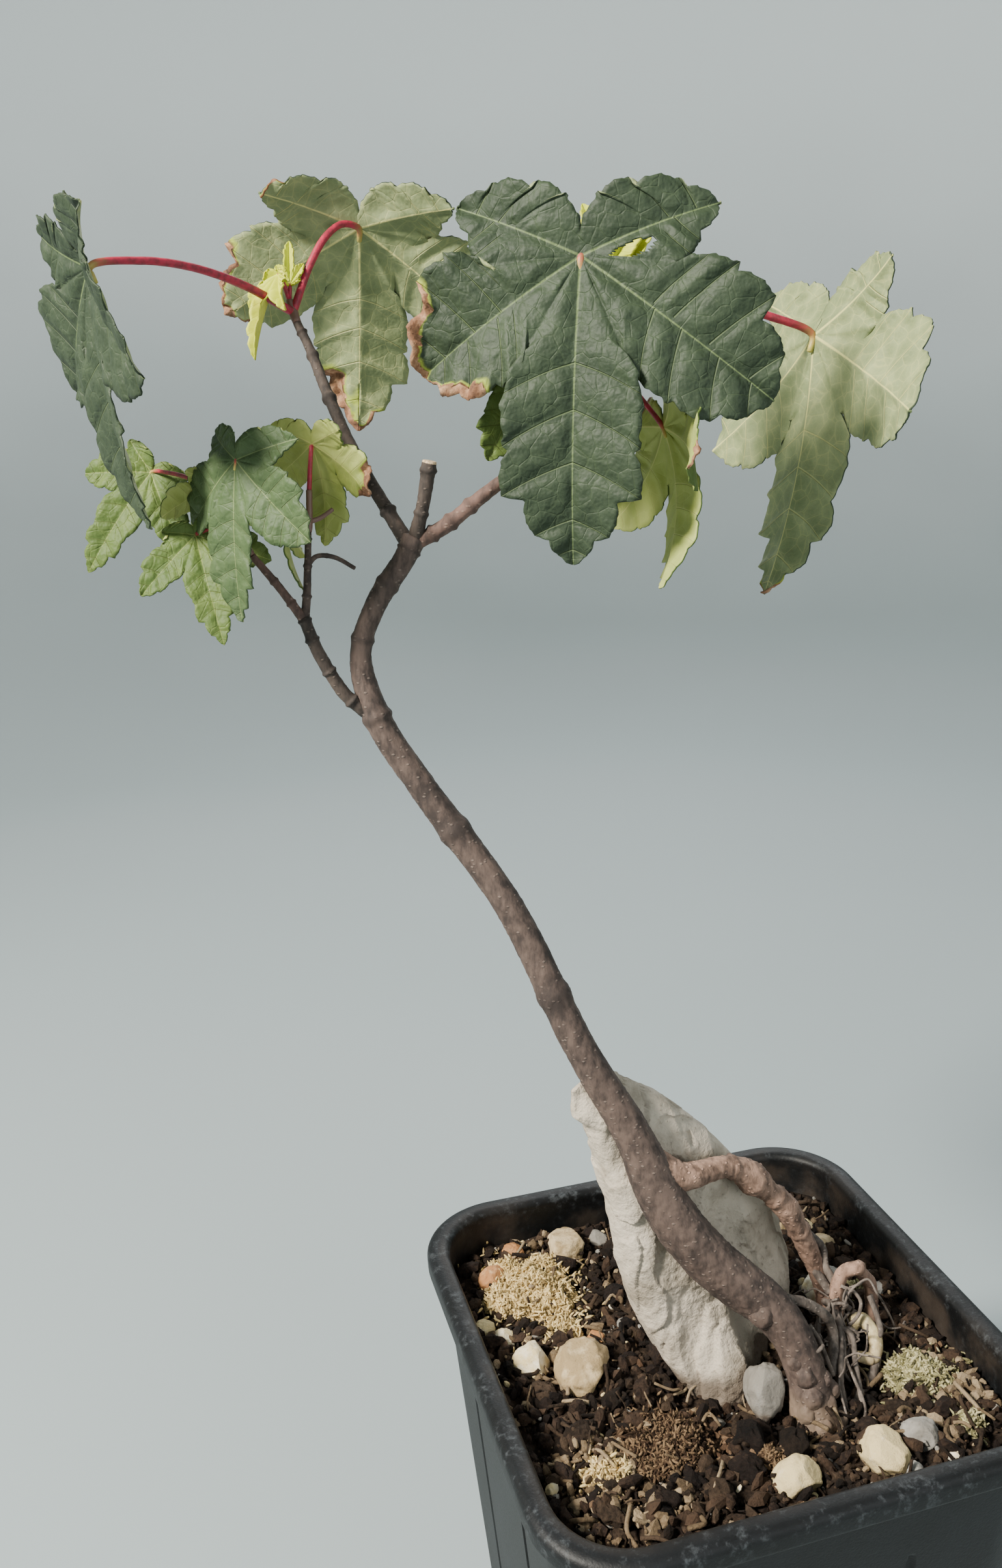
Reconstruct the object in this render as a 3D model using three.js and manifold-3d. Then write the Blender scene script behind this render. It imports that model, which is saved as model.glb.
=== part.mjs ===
// A sycamore maple sapling grown as a root-over-rock bonsai in a square nursery pot.
// Millimetres, +Z up. The origin is the centre of the pot's flat underside, +X runs to the
// right along the pot's front wall and +Y runs away from that wall.

import * as THREE from "three";
import { mergeVertices } from "three/addons/utils/BufferGeometryUtils.js";
import Module from "manifold-3d";

const wasm = await Module();
wasm.setup();

// Pot
const POT_HEIGHT = 120;
const LIP_HALF = 55;
const LIP_HEIGHT = 5.5;
const LIP_ROUND = 1.1;
const LIP_CORNER = 19;
const WALL_TOP_HALF = 51.4;
const WALL_FOOT_HALF = 41.5;
const WALL_THICK = 1.5;
const FLOOR_THICK = 2;
const CORNER_SHARE = 0.29; // corner radius over the half width, below the lip
const CORNER_STEPS = 4;
const SLIT = { offset: 17.5, width: 2.2, depth: 0.8, foot: 14, top: 99 };
const DRAIN = { radius: 2.8, reach: 24, sides: 10 };

// Soil
const CLEARANCE = 0.35; // between neighbours' facets, so that at least 0.3 stays everywhere
const SOIL_EDGE = 110.5;
const SOIL_DISH = { depth: 4.5, x: 14, y: -9, halfWidth: 27, halfDepth: 22 }; // round the tree's foot
const SOIL_RIPPLE = { height: 0.7, pitch: 13 };
const SOIL_RINGS = [1, 0.9, 0.76, 0.6, 0.42, 0.22];
const GROUND = 105; // flat cut under trunk, roots and rock

// Rock: height, left edge, right edge and thickness of each level, in its own leaning plane
const ROCK = {
  foot: [-3, -8],
  turn: 15,
  leanBack: 10,
  levels: [
    [GROUND - 1, -3, 25, 15],
    [113, -9, 28, 15],
    [124, -14.5, 28.5, 14.5],
    [138, -18.5, 24.5, 14],
    [150, -20.5, 16.5, 12.5],
    [160, -22, 8, 11],
    [166.5, -22.5, 1.5, 10],
    [168.5, -20.5, -0.5, 9.6],
    [171, -25, -3.5, 9],
    [177, -25.5, -13, 7],
  ],
  sides: 12,
  squareness: 2.6,
  chips: 0.07,
};

// Trunk from its cut at the ground to its upper fork: [x, y, z, radius]
const TRUNK = [
  [13, -22.5, GROUND - 4, 6.2],
  [12.5, -20.5, 109, 5.0],
  [12, -18.5, 115.5, 4.2],
  [10, -15.2, 123, 3.9],
  [6, -12, 129, 4.0],
  [0.5, -9.5, 134, 4.2],
  [-5.5, -7, 140, 4.3],
  [-13, -4, 151, 4.0],
  [-19, 0, 167, 3.6],
  [-28, 5, 185, 3.2],
  [-40, 15, 215, 2.9],
  [-54, 24, 238, 2.75],
  [-61.5, 28, 252, 2.6],
  [-63.5, 30.5, 264, 2.1],
  [-60, 30.5, 273.5, 2.05],
  [-54, 30, 282, 2.15],
  [-52, 30.2, 285.5, 2.3],
];

// Boughs, twigs and bared roots: the same four numbers for each bend
const LIMBS = {
  left_leader: [
    [-53, 30.8, 284.5, 1.55],
    [-56.3, 34.7, 291.3, 1.3],
    [-60, 41.5, 300.3, 1.2],
    [-63.2, 50.6, 311.5, 1.15],
    [-65.5, 57.8, 321.5, 0.95],
    [-67, 61, 326, 0.85],
  ],
  cut_stub: [
    [-52, 30, 285, 1.5],
    [-50.6, 28.4, 291, 1.2],
    [-49, 27.6, 299.5, 1.4],
  ],
  right_bough: [
    [-52, 30.2, 284.5, 1.5],
    [-46.2, 27.6, 288, 1.45],
    [-37, 25, 295, 1.25],
    [-28, 25, 300, 1.15],
    [-19.5, 27.3, 308, 1.05],
    [-14.5, 29.6, 314, 0.95],
  ],
  side_branch: [
    [-62, 28.4, 252, 1.5],
    [-67, 28.8, 256.5, 1.3],
    [-70, 29.2, 261.5, 1.25],
    [-72.4, 29.4, 266.8, 1.2],
    [-74, 30, 272, 1.15],
  ],
  side_upright_twig: [
    [-74, 30, 271, 0.9],
    [-73.1, 30.5, 276, 0.8],
    [-72.5, 31.8, 280, 0.72],
    [-71.8, 33.8, 284.5, 0.65],
    [-71.3, 35.4, 287.2, 0.62],
  ],
  side_left_twig: [
    [-74, 30, 271.5, 0.95],
    [-76.2, 29.8, 275, 0.85],
    [-79, 30.2, 279.2, 0.75],
    [-82.6, 30.9, 284, 0.68],
  ],
  bare_twig: [
    [-72.3, 32.4, 281.5, 0.5],
    [-70.4, 33, 283, 0.48],
    [-67, 33.3, 282.6, 0.45],
    [-63.2, 33.2, 280.3, 0.4],
  ],
  over_rock_root: [
    [-13.5, -3, 152.5, 2.6],
    [-8, -2.6, 154.5, 2.4],
    [0, 0, 155.2, 2.5],
    [6.5, 0.6, 151.6, 3.5],
    [12.5, 0.4, 145.5, 2.7],
    [18.5, 0.5, 137.5, 2.9],
    [23.5, 1.5, 127, 2.6],
    [27.2, 1.5, 116, 1.9],
    [28.5, 1, GROUND - 3, 1.8],
  ],
  pale_root: [
    [27.5, -6, GROUND - 2, 1.3],
    [29.5, -6.2, 112, 1.4],
    [31.6, -7.2, 115.2, 1.5],
    [33.2, -10.5, 112.8, 1.55],
    [31, -13.5, 110.4, 1.4],
    [27.6, -13, 111.2, 1.1],
  ],
};

// Thin roots that leave one knot beside the rock and curl down to the soil
const FINE_ROOTS = {
  knot: [26.5, -4, 116.5],
  knotSize: 2.6,
  // Where each goes into the soil, its radius and the height of its arch
  ends: [
    [17.5, -26, 0.7, 5],
    [22.5, -25, 0.9, 3],
    [24, -18, 0.7, 5],
    [38, -3, 1.5, 13],
    [36.5, 4.5, 0.8, 3],
    [21.5, -10, 0.7, 5],
  ],
  top: 0.4, // share of the way at which a root is highest
  fall: 0.85, // share of the way at which it turns down
  fallen: 0.9, // share of the arch's height that it still has there
};

// Stones: [x, y, width, depth, height, turn, kind]
const STONES = [
  [-39.4, 7.5, 8, 7.5, 7, 20, "white"],
  [-30, 1.5, 13.5, 11.5, 10.5, 65, "tan"],
  [-43.2, 16.3, 5.5, 5, 4.5, 0, "white"],
  [-40.1, 35.5, 8, 6.5, 5.5, 30, "orange"],
  [-20, 41.5, 10, 8.5, 7, 110, "tan"],
  [30.5, 9.7, 8, 7, 7.5, 45, "white"],
  [-0.5, -38.3, 9.5, 8, 7.5, 15, "white"],
  [17.7, -38.8, 10, 9, 8, 80, "white"],
  [27.4, -36.2, 7.5, 6.5, 5.5, 10, "grey"],
  [2.2, -19.5, 9, 7.5, 8, 70, "grey"],
  [36.2, 20.5, 6, 5.2, 5, 0, "white"],
];
const STONE_SINK = 0.3;
const LUMP_SPREAD = 0.12;
const LUMP_GROWTH = 1.9; // a flat lump's slanting facets move less than its three axes do

// Moss cushions: [x, y, width, height]
const MOSS = [
  [-33.5, 27.5, 20, 7],
  [-30.5, 14.5, 9, 4.5],
  [38.4, -21, 14, 6],
  [-21.9, -22.4, 17, 6],
];
const MOSS_DEPTH = 0.9; // of its width
const MOSS_TURN = 30; // degrees from one cushion to the next

// Leaf: angles and lengths of the five lobes against the midrib and notch radii between lobes
const LOBE_ANGLES = [-112, -56, 0, 56, 112];
const LOBE_LENGTHS = [0.48, 0.77, 1, 0.77, 0.48];
const NOTCH_RADII = [0.33, 0.39, 0.39, 0.33];
// Teeth of each kind of lobe side: share of the lobe's length, then half width before and after
// the tooth's step, as shares of the leaf's size
const TEETH = {
  centre: [[0.6, 0.235, 0.21], [0.76, 0.24, 0.155], [0.895, 0.13, 0.075], [0.965, 0.05, 0.03]],
  shoulderInner: [[0.64, 0.215, 0.195], [0.82, 0.18, 0.14], [0.94, 0.095, 0.055]],
  shoulderOuter: [[0.55, 0.265, 0.235], [0.74, 0.25, 0.165], [0.91, 0.13, 0.08]],
  baseInner: [[0.78, 0.1, 0.07]],
  baseOuter: [[0.24, 0.155, 0.14], [0.45, 0.16, 0.125], [0.77, 0.11, 0.075]],
};
const SIDES_OF_LOBE = [
  ["baseOuter", "baseInner"],
  ["shoulderOuter", "shoulderInner"],
  ["centre", "centre"],
  ["shoulderInner", "shoulderOuter"],
  ["baseInner", "baseOuter"],
];
const TOOTH_LEAD = 0.012;
const BLEND = { reach: 1.35, width: 0.35 };
const VEIN_STATIONS = [0, 0.35, 0.68, 1];
const SMALL_LEAF = 22;
const BLADE_THICK = 0.014;
const LEAST_THICK = 0.45;
const PLAIN_FOLD = 9;

// Each shoot goes on from its limb: the shoot's own bends, then its leaves.
// A leaf: name, shoot bend that it leaves from, junction of stalk and blade, size, direction
// of the tip and of the upper face as [azimuth, elevation], lift at the junction, droop along
// each lobe, rise of the stalk over a straight line, and breadth and fold where not plain.
const SHOOTS = {
  left_foliage: {
    limb: "left_leader",
    bends: [[-67.5, 62.4, 328.3, 1.0], [-68, 63.3, 330.6, 0.7]],
    leaves: [
      {
        from: 0, at: [-106, 41, 334.8], size: 46.5, tip: [5, -77], face: [-169, -13],
        lift: 14, droop: 17, rise: 4,
      },
      {
        from: 0, at: [-51.5, 71, 345], size: 45, tip: [83, -55], face: [71, 34],
        lift: 0, droop: 21, rise: 6,
      },
      {
        from: 1, at: [-70, 62, 335.5], size: 20, tip: [-148, -57], face: [-150, 30],
        lift: 5, droop: 20, rise: 0.5, breadth: 0.5, fold: 48,
      },
      {
        from: 1, at: [-67.6, 63.6, 333.6], size: 9, tip: [75, 70], face: [-105, 20],
        lift: 5, droop: 10, rise: 0, breadth: 0.6, fold: 40,
      },
    ],
  },
  right_foliage: {
    limb: "right_bough",
    bends: [
      [-13, 30.2, 316.3, 1.1],
      [-10.5, 32, 321.5, 0.85],
      [-9.2, 33.4, 327.5, 0.9],
      [-9, 34.2, 331, 0.6],
    ],
    leaves: [
      {
        from: 2, at: [-22, 18.5, 334.5], size: 55, tip: [-130, -80], face: [-119, 10],
        lift: 8, droop: 33, rise: 1.5, lobes: [1, 0.86, 1, 1.03, 1],
      },
      {
        from: 2, at: [34, 34.5, 321], size: 53, tip: [-166, -78], face: [3, -11],
        lift: 10, droop: 20, rise: 3, angles: [-120, -66, 0, 56, 112],
      },
      {
        from: 0, at: [-4, 22.5, 304.5], size: 32, tip: [-64, -68], face: [4, 8],
        lift: 4, droop: 46, rise: 1,
      },
      {
        from: 0, at: [-27, 33.5, 318], size: 21, tip: [178, -66], face: [-85, 12],
        lift: 5, droop: 20, rise: 1.5,
      },
      {
        from: 3, at: [-10.3, 34.6, 334], size: 13, tip: [146, 66], face: [-106, 20],
        lift: 5, droop: 15, rise: 0, breadth: 0.8, fold: 35,
      },
      {
        from: 3, at: [-7.6, 34.4, 333.6], size: 10, tip: [6, 53], face: [-100, 30],
        lift: 5, droop: 15, rise: 0, breadth: 0.7, fold: 35,
      },
    ],
  },
  side_left_foliage: {
    limb: "side_left_twig",
    bends: [[-83.6, 31.3, 286, 0.8], [-84.4, 32.2, 290.4, 0.7], [-85.3, 33, 294, 0.6]],
    leaves: [
      {
        from: 2, at: [-84.5, 27, 301.5], size: 29, tip: [-156, -74], face: [-150, 16],
        lift: -6, droop: 16, rise: 1.5, breadth: 0.9,
      },
      {
        from: 2, at: [-98.4, 58.8, 298.5], size: 24, tip: [178, -53], face: [-105, 25],
        lift: 12, droop: 26, rise: 1.5, breadth: 0.65, lobes: [0.7, 0.75, 1, 0.9, 0.7],
      },
      {
        from: 1, at: [-92, 39.5, 287.6], size: 22, tip: [-75, -62], face: [-105, 22],
        lift: 6, droop: 16, rise: 0.5, breadth: 0.65, lobes: [0.6, 0.9, 1, 0.9, 0.6],
      },
      {
        from: 1, at: [-86.8, 43.8, 296.5], size: 16.5, tip: [120, -60], face: [100, 30],
        lift: 5, droop: 30, rise: 1, breadth: 0.85,
      },
    ],
  },
  side_upright_foliage: {
    limb: "side_upright_twig",
    bends: [[-71, 36, 288.6, 0.72], [-70.6, 36.6, 292, 0.62], [-70.4, 36.9, 295, 0.6]],
    leaves: [
      {
        from: 2, at: [-69, 38, 303.5], size: 20, tip: [48, -73], face: [42, 17],
        lift: 10, droop: 39, rise: 0.5,
      },
      {
        from: 0, at: [-75, 38.7, 290.5], size: 15, tip: [-100, -72], face: [160, 15],
        lift: 5, droop: 30, rise: 1, breadth: 0.7,
      },
    ],
    spur: [[-70.8, 36.4, 289.2, 0.5], [-68.6, 36.7, 289.8, 0.45], [-66.2, 36.5, 291.3, 0.4]],
  },
};
const STALK_RADIUS = 0.016; // of the leaf's size
const LEAST_STALK = 0.42;

// Colours
const COLOURS = {
  plastic: { color: 0x26282b, roughness: 0.55 },
  soil: { color: 0x4a3526, roughness: 1 },
  rock: { color: 0xb3aca4, roughness: 0.9 },
  bark: { color: 0x6f5d55, roughness: 0.9 },
  root: { color: 0xa07c68, roughness: 0.85 },
  paleRoot: { color: 0xd2c4a4, roughness: 0.8 },
  leaf: { color: 0x4f6f4a, roughness: 0.55 },
  youngLeaf: { color: 0x8fa23c, roughness: 0.55 },
  moss: { color: 0x8a8455, roughness: 1 },
  white: { color: 0xdcd6c6, roughness: 0.8 },
  tan: { color: 0xc4a986, roughness: 0.85 },
  orange: { color: 0xc98f5a, roughness: 0.85 },
  grey: { color: 0x9c968e, roughness: 0.85 },
};

const plant = new THREE.Group();
const radians = THREE.MathUtils.degToRad;
const vec = ([x, y, z]) => new THREE.Vector3(x, y, z);

// Random numbers that are the same on every run
function seeded(seed) {
  let state = seed;
  return () => {
    state = (state * 1664525 + 1013904223) % 4294967296;
    return state / 4294967296;
  };
}

// A unit vector from an azimuth and an elevation in degrees
function heading([azimuth, elevation]) {
  const flat = Math.cos(radians(elevation));
  return new THREE.Vector3(
    flat * Math.cos(radians(azimuth)),
    flat * Math.sin(radians(azimuth)),
    Math.sin(radians(elevation)),
  );
}

// Geometry from points and triangles, with equal points merged and flat triangles dropped
function bodyOf(points, triangles) {
  const loose = new THREE.BufferGeometry().setFromPoints(points);
  loose.setIndex(triangles);
  const welded = mergeVertices(loose, 1e-4);
  const kept = [];
  for (let k = 0; k < welded.index.count; k += 3) {
    const [a, b, c] = [0, 1, 2].map((corner) => welded.index.getX(k + corner));
    if (a !== b && b !== c && c !== a) kept.push(a, b, c);
  }
  welded.setIndex(kept);
  return welded;
}

// A closed body through rings of equal count, its ends closed by a fan to each end's middle
function loft(rings) {
  const count = rings[0].length;
  const points = rings.flat();
  const triangles = [];
  for (let level = 0; level + 1 < rings.length; level++) {
    for (let k = 0; k < count; k++) {
      const next = (k + 1) % count;
      const [a, b] = [level * count + k, level * count + next];
      triangles.push(a, b, b + count, a, b + count, a + count);
    }
  }
  const middle = (ring) => ring.reduce((sum, p) => sum.add(p), new THREE.Vector3()).divideScalar(count);
  const last = (rings.length - 1) * count;
  points.push(middle(rings[0]), middle(rings[rings.length - 1]));
  for (let k = 0; k < count; k++) {
    const next = (k + 1) % count;
    triangles.push(points.length - 2, next, k, points.length - 1, last + k, last + next);
  }
  return bodyOf(points, triangles);
}

function toSolid(geometry) {
  const bare = geometry.index ? geometry.clone() : mergeVertices(geometry);
  bare.deleteAttribute("normal");
  bare.deleteAttribute("uv");
  const welded = mergeVertices(bare, 1e-4);
  return new wasm.Manifold(new wasm.Mesh({
    numProp: 3,
    vertProperties: new Float32Array(welded.attributes.position.array),
    triVerts: new Uint32Array(welded.index.array),
  }));
}

// The largest piece that a cut leaves
function largest(solid) {
  return solid.decompose().reduce((best, piece) => (piece.volume() > best.volume() ? piece : best));
}

function toGeometry(solid) {
  const mesh = solid.getMesh();
  const geometry = new THREE.BufferGeometry();
  geometry.setAttribute("position", new THREE.BufferAttribute(mesh.vertProperties, 3));
  geometry.setIndex(new THREE.BufferAttribute(mesh.triVerts, 1));
  return geometry;
}

function add(name, solid, colour) {
  const material = new THREE.MeshStandardMaterial({ ...COLOURS[colour], metalness: 0 });
  const mesh = new THREE.Mesh(toGeometry(solid), material);
  mesh.name = name;
  plant.add(mesh);
}

// A round-cornered square with the same count of points at every size
function squareRing(half, corner, z) {
  const ring = [];
  for (let quarter = 0; quarter < 4; quarter++) {
    const start = quarter * Math.PI / 2;
    for (let k = 0; k <= CORNER_STEPS; k++) {
      const angle = start + (Math.PI / 2) * (k / CORNER_STEPS);
      const sign = [[1, 1], [-1, 1], [-1, -1], [1, -1]][quarter];
      ring.push(new THREE.Vector3(
        sign[0] * (half - corner) + corner * Math.cos(angle),
        sign[1] * (half - corner) + corner * Math.sin(angle),
        z,
      ));
    }
  }
  return ring;
}

const wallHalf = (z) => WALL_FOOT_HALF + (WALL_TOP_HALF - WALL_FOOT_HALF) * z / (POT_HEIGHT - LIP_HEIGHT);
const wallRing = (half, z) => squareRing(half, half * CORNER_SHARE, z);

function makePot() {
  const lipFoot = POT_HEIGHT - LIP_HEIGHT;
  const innerTop = wallHalf(lipFoot) - WALL_THICK;
  const shell = toSolid(loft([
    wallRing(WALL_FOOT_HALF, 0),
    wallRing(wallHalf(lipFoot), lipFoot),
    squareRing(LIP_HALF - LIP_ROUND, LIP_CORNER, lipFoot),
    squareRing(LIP_HALF, LIP_CORNER, lipFoot + LIP_ROUND),
    squareRing(LIP_HALF, LIP_CORNER, POT_HEIGHT - LIP_ROUND),
    squareRing(LIP_HALF - LIP_ROUND, LIP_CORNER - LIP_ROUND, POT_HEIGHT),
    wallRing(innerTop + LIP_ROUND, POT_HEIGHT),
    wallRing(innerTop, POT_HEIGHT - LIP_ROUND),
    wallRing(innerTop, lipFoot),
    wallRing(wallHalf(FLOOR_THICK) - WALL_THICK, FLOOR_THICK),
  ]));
  const cuts = [];
  for (const [dx, dy] of [[1, 1], [-1, 1], [-1, -1], [1, -1], [1, 0], [0, 1], [-1, 0], [0, -1]]) {
    const hole = new THREE.CylinderGeometry(DRAIN.radius, DRAIN.radius, 3 * FLOOR_THICK, DRAIN.sides);
    hole.rotateX(Math.PI / 2);
    hole.translate(dx * DRAIN.reach, dy * DRAIN.reach, 0);
    cuts.push(toSolid(hole));
  }
  for (let wall = 0; wall < 4; wall++) {
    for (const side of [-1, 1]) cuts.push(slitCut(side * SLIT.offset, wall * Math.PI / 2));
  }
  return cuts.reduce((pot, cut) => pot.subtract(cut), shell);
}

// The shallow slit pressed into a wall: a thin slab that leans as the wall does
function slitCut(across, turn) {
  const outline = new THREE.Shape();
  outline.moveTo(-SLIT.width / 2, SLIT.foot);
  outline.lineTo(SLIT.width / 2, SLIT.foot);
  outline.lineTo(SLIT.width / 2, SLIT.top - SLIT.width);
  outline.lineTo(0, SLIT.top);
  outline.lineTo(-SLIT.width / 2, SLIT.top - SLIT.width);
  const slab = new THREE.ExtrudeGeometry(outline, { depth: 4 * SLIT.depth, bevelEnabled: false });
  slab.rotateX(Math.PI / 2);
  const place = slab.attributes.position;
  for (let k = 0; k < place.count; k++) {
    const z = place.getZ(k);
    const outward = place.getY(k) + SLIT.depth;
    place.setXYZ(k, place.getX(k) + across, -wallHalf(z) + outward, z);
  }
  slab.rotateZ(turn);
  return toSolid(slab);
}

function soilHeight(x, y) {
  const { depth, x: cx, y: cy, halfWidth, halfDepth } = SOIL_DISH;
  const off = ((x - cx) / halfWidth) ** 2 + ((y - cy) / halfDepth) ** 2;
  const dish = depth * Math.exp(-(off ** 2));
  const phase = (2 * Math.PI) / SOIL_RIPPLE.pitch;
  const ripple = SOIL_RIPPLE.height * Math.sin(phase * x + 1) * Math.cos(phase * y * 0.8);
  return SOIL_EDGE - dish + ripple;
}

function makeSoil(cuts) {
  const lowest = FLOOR_THICK + CLEARANCE;
  const ring = (share) => wallRing(wallHalf(SOIL_EDGE) - WALL_THICK - CLEARANCE, 0).map((p) => {
    const [x, y] = [p.x * share, p.y * share];
    return new THREE.Vector3(x, y, soilHeight(x, y));
  });
  const block = toSolid(loft([
    wallRing(wallHalf(lowest) - WALL_THICK - CLEARANCE, lowest),
    ...SOIL_RINGS.map(ring),
  ]));
  return largest(cuts.reduce((soil, cut) => soil.subtract(cut), block));
}

function makeRock(grow = 0) {
  const along = new THREE.Vector3(Math.cos(radians(ROCK.turn)), Math.sin(radians(ROCK.turn)), 0);
  const back = new THREE.Vector3(-along.y, along.x, 0);
  const random = seeded(11);
  const rings = ROCK.levels.map(([z, left, right, thick], level) => {
    const rise = z - ROCK.levels[0][0];
    const depth = rise * Math.tan(radians(ROCK.leanBack)) + ROCK.levels[0][3] / 2;
    const middle = new THREE.Vector3(ROCK.foot[0], ROCK.foot[1], level === 0 ? z - grow : z)
      .addScaledVector(along, (left + right) / 2).addScaledVector(back, depth);
    return Array.from({ length: ROCK.sides }, (_, k) => {
      const angle = (2 * Math.PI * k) / ROCK.sides;
      const [c, s] = [Math.cos(angle), Math.sin(angle)];
      const power = 2 / ROCK.squareness;
      const chip = 1 + ROCK.chips * (random() - 0.5) * 2;
      const half = (right - left) / 2 * chip + grow;
      const deep = thick / 2 * (1 + ROCK.chips * 3 * (random() - 0.5)) + grow;
      return middle.clone()
        .addScaledVector(along, half * Math.sign(c) * Math.abs(c) ** power)
        .addScaledVector(back, deep * Math.sign(s) * Math.abs(s) ** power);
    });
  });
  return toSolid(loft(rings));
}

// A tapering limb through its bends; grow widens it for a cut that leaves clearance
function makeLimb(bends, { sides = 8, steps = 3, grow = 0 } = {}) {
  const curve = new THREE.CatmullRomCurve3(bends.map(vec), false, "centripetal");
  const count = (bends.length - 1) * steps;
  let side = new THREE.Vector3(0, -1, 0.1);
  const rings = [];
  for (let k = 0; k <= count; k++) {
    const t = k / count;
    const tangent = curve.getTangent(t);
    side = side.clone().addScaledVector(tangent, -side.dot(tangent)).normalize();
    const other = tangent.clone().cross(side);
    const place = t * (bends.length - 1);
    const low = Math.min(Math.floor(place), bends.length - 2);
    const radius = THREE.MathUtils.lerp(bends[low][3], bends[low + 1][3], place - low) + grow;
    const beyond = (k === 0 ? -grow : 0) + (k === count ? grow : 0);
    const centre = curve.getPoint(t).addScaledVector(tangent, beyond);
    rings.push(Array.from({ length: sides }, (_, m) => {
      const angle = (2 * Math.PI * m) / sides;
      return centre.clone()
        .addScaledVector(side, radius * Math.cos(angle))
        .addScaledVector(other, radius * Math.sin(angle));
    }));
  }
  return toSolid(loft(rings));
}

// Everything below a height
function below(height) {
  const block = new THREE.BoxGeometry(400, 400, 100);
  block.translate(0, 0, height - 50);
  return toSolid(block);
}

// The share of a neighbouring lobe's bend that a point takes, one half on the notch line
function neighbourShare(angle, halfAngle, radius, notchRadius) {
  const turn = THREE.MathUtils.smoothstep(angle / halfAngle, 0, 1);
  const fade = (BLEND.reach * notchRadius - radius) / (BLEND.width * notchRadius);
  return 0.5 * turn * THREE.MathUtils.smoothstep(fade, 0, 1);
}

const lobeAngle = (leaf, i) => radians((leaf.angles ?? LOBE_ANGLES)[i]);
const lobeLength = (leaf, i) => LOBE_LENGTHS[i] * (leaf.lobes?.[i] ?? 1) * leaf.size;

// Places a flat point of lobe i (along its vein, across it) on the bent leaf
function lobePoint(leaf, i, along, across) {
  const length = lobeLength(leaf, i);
  const [lift, bend] = [radians(leaf.lift), -radians(leaf.droop) + 1e-6];
  const [angle, fold] = [lobeAngle(leaf, i), radians(leaf.fold ?? PLAIN_FOLD)];
  const turn = lift + bend * along / length;
  const reach = (length / bend) * (Math.sin(turn) - Math.sin(lift));
  const rise = (-length / bend) * (Math.cos(turn) - Math.cos(lift));
  const [c, s] = [Math.cos(angle), Math.sin(angle)];
  const outward = leaf.a.clone().multiplyScalar(c).addScaledVector(leaf.b, s);
  const sideways = leaf.a.clone().multiplyScalar(-s).addScaledVector(leaf.b, c);
  const up = leaf.n.clone().multiplyScalar(Math.cos(turn)).addScaledVector(outward, -Math.sin(turn));
  return vec(leaf.at)
    .addScaledVector(outward, reach)
    .addScaledVector(leaf.n, rise)
    .addScaledVector(sideways, across * Math.cos(fold))
    .addScaledVector(up, Math.abs(across) * Math.sin(fold));
}

// The same, blended with the neighbouring lobes inside the notches
function leafPoint(leaf, i, along, across) {
  const point = lobePoint(leaf, i, along, across);
  const radius = Math.hypot(along, across);
  const angle = Math.atan2(across, along);
  for (const step of [-1, 1]) {
    const j = i + step;
    if (j < 0 || j > 4) continue;
    const between = lobeAngle(leaf, j) - lobeAngle(leaf, i);
    const notch = NOTCH_RADII[Math.min(i, j)] * leaf.size;
    const share = neighbourShare(angle * step, Math.abs(between) / 2, radius, notch);
    if (share === 0) continue;
    const turned = angle - between;
    point.lerp(lobePoint(leaf, j, radius * Math.cos(turned), radius * Math.sin(turned)), share);
  }
  return point;
}

// One side of a lobe as [along, across], from the junction past the notch and teeth to the tip
function lobeEdge(leaf, i, side) {
  const length = lobeLength(leaf, i);
  const outer = (side < 0 && i === 0) || (side > 0 && i === 4);
  const breadth = side * leaf.size * (leaf.breadth ?? 1);
  const edge = [[0, 0]];
  if (!outer) {
    const between = Math.min(i, side < 0 ? i - 1 : i);
    const half = (lobeAngle(leaf, between + 1) - lobeAngle(leaf, between)) / 2;
    const radius = NOTCH_RADII[between] * leaf.size;
    const [along, across] = [radius * Math.cos(half), side * radius * Math.sin(half)];
    edge.push([along / 2, across / 2], [along, across]);
  }
  const teeth = TEETH[SIDES_OF_LOBE[i][side < 0 ? 0 : 1]];
  for (const [share, before, after] of teeth.slice(leaf.size > SMALL_LEAF ? 0 : -2)) {
    edge.push([share * length, before * breadth], [(share + TOOTH_LEAD) * length, after * breadth]);
  }
  edge.push([length, 0]);
  return edge;
}

// Triangles between a vein and an edge, always going on from the line that lags behind
function stitch(vein, edge, side, push) {
  let [v, e] = [0, 0];
  while (v + 1 < vein.length || e + 1 < edge.length) {
    const takeVein = e + 1 === edge.length
      || (v + 1 < vein.length && vein[v + 1].along <= edge[e + 1].along);
    const next = takeVein ? vein[v + 1] : edge[e + 1];
    if (side > 0) push(vein[v], next, edge[e]);
    else push(vein[v], edge[e], next);
    if (takeVein) v += 1;
    else e += 1;
  }
}

// A leaf's blade as a closed thin body
function makeBlade(leaf) {
  const middle = [];
  const faces = [];
  const index = new Map();
  const keep = (point) => {
    const key = point.toArray().map((value) => value.toFixed(4)).join();
    if (!index.has(key)) {
      index.set(key, middle.length);
      middle.push(point);
    }
    return index.get(key);
  };
  for (let i = 0; i < 5; i++) {
    const spot = ([along, across]) => ({ along, key: keep(leafPoint(leaf, i, along, across)) });
    const vein = VEIN_STATIONS.map((t) => spot([t * lobeLength(leaf, i), 0]));
    for (const side of [-1, 1]) {
      stitch(vein, lobeEdge(leaf, i, side).map(spot), side, (...corners) => {
        const keys = corners.map((corner) => corner.key);
        if (new Set(keys).size === 3) faces.push(keys);
      });
    }
  }
  return toSolid(thicken(middle, faces, Math.max(LEAST_THICK, BLADE_THICK * leaf.size)));
}

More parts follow.
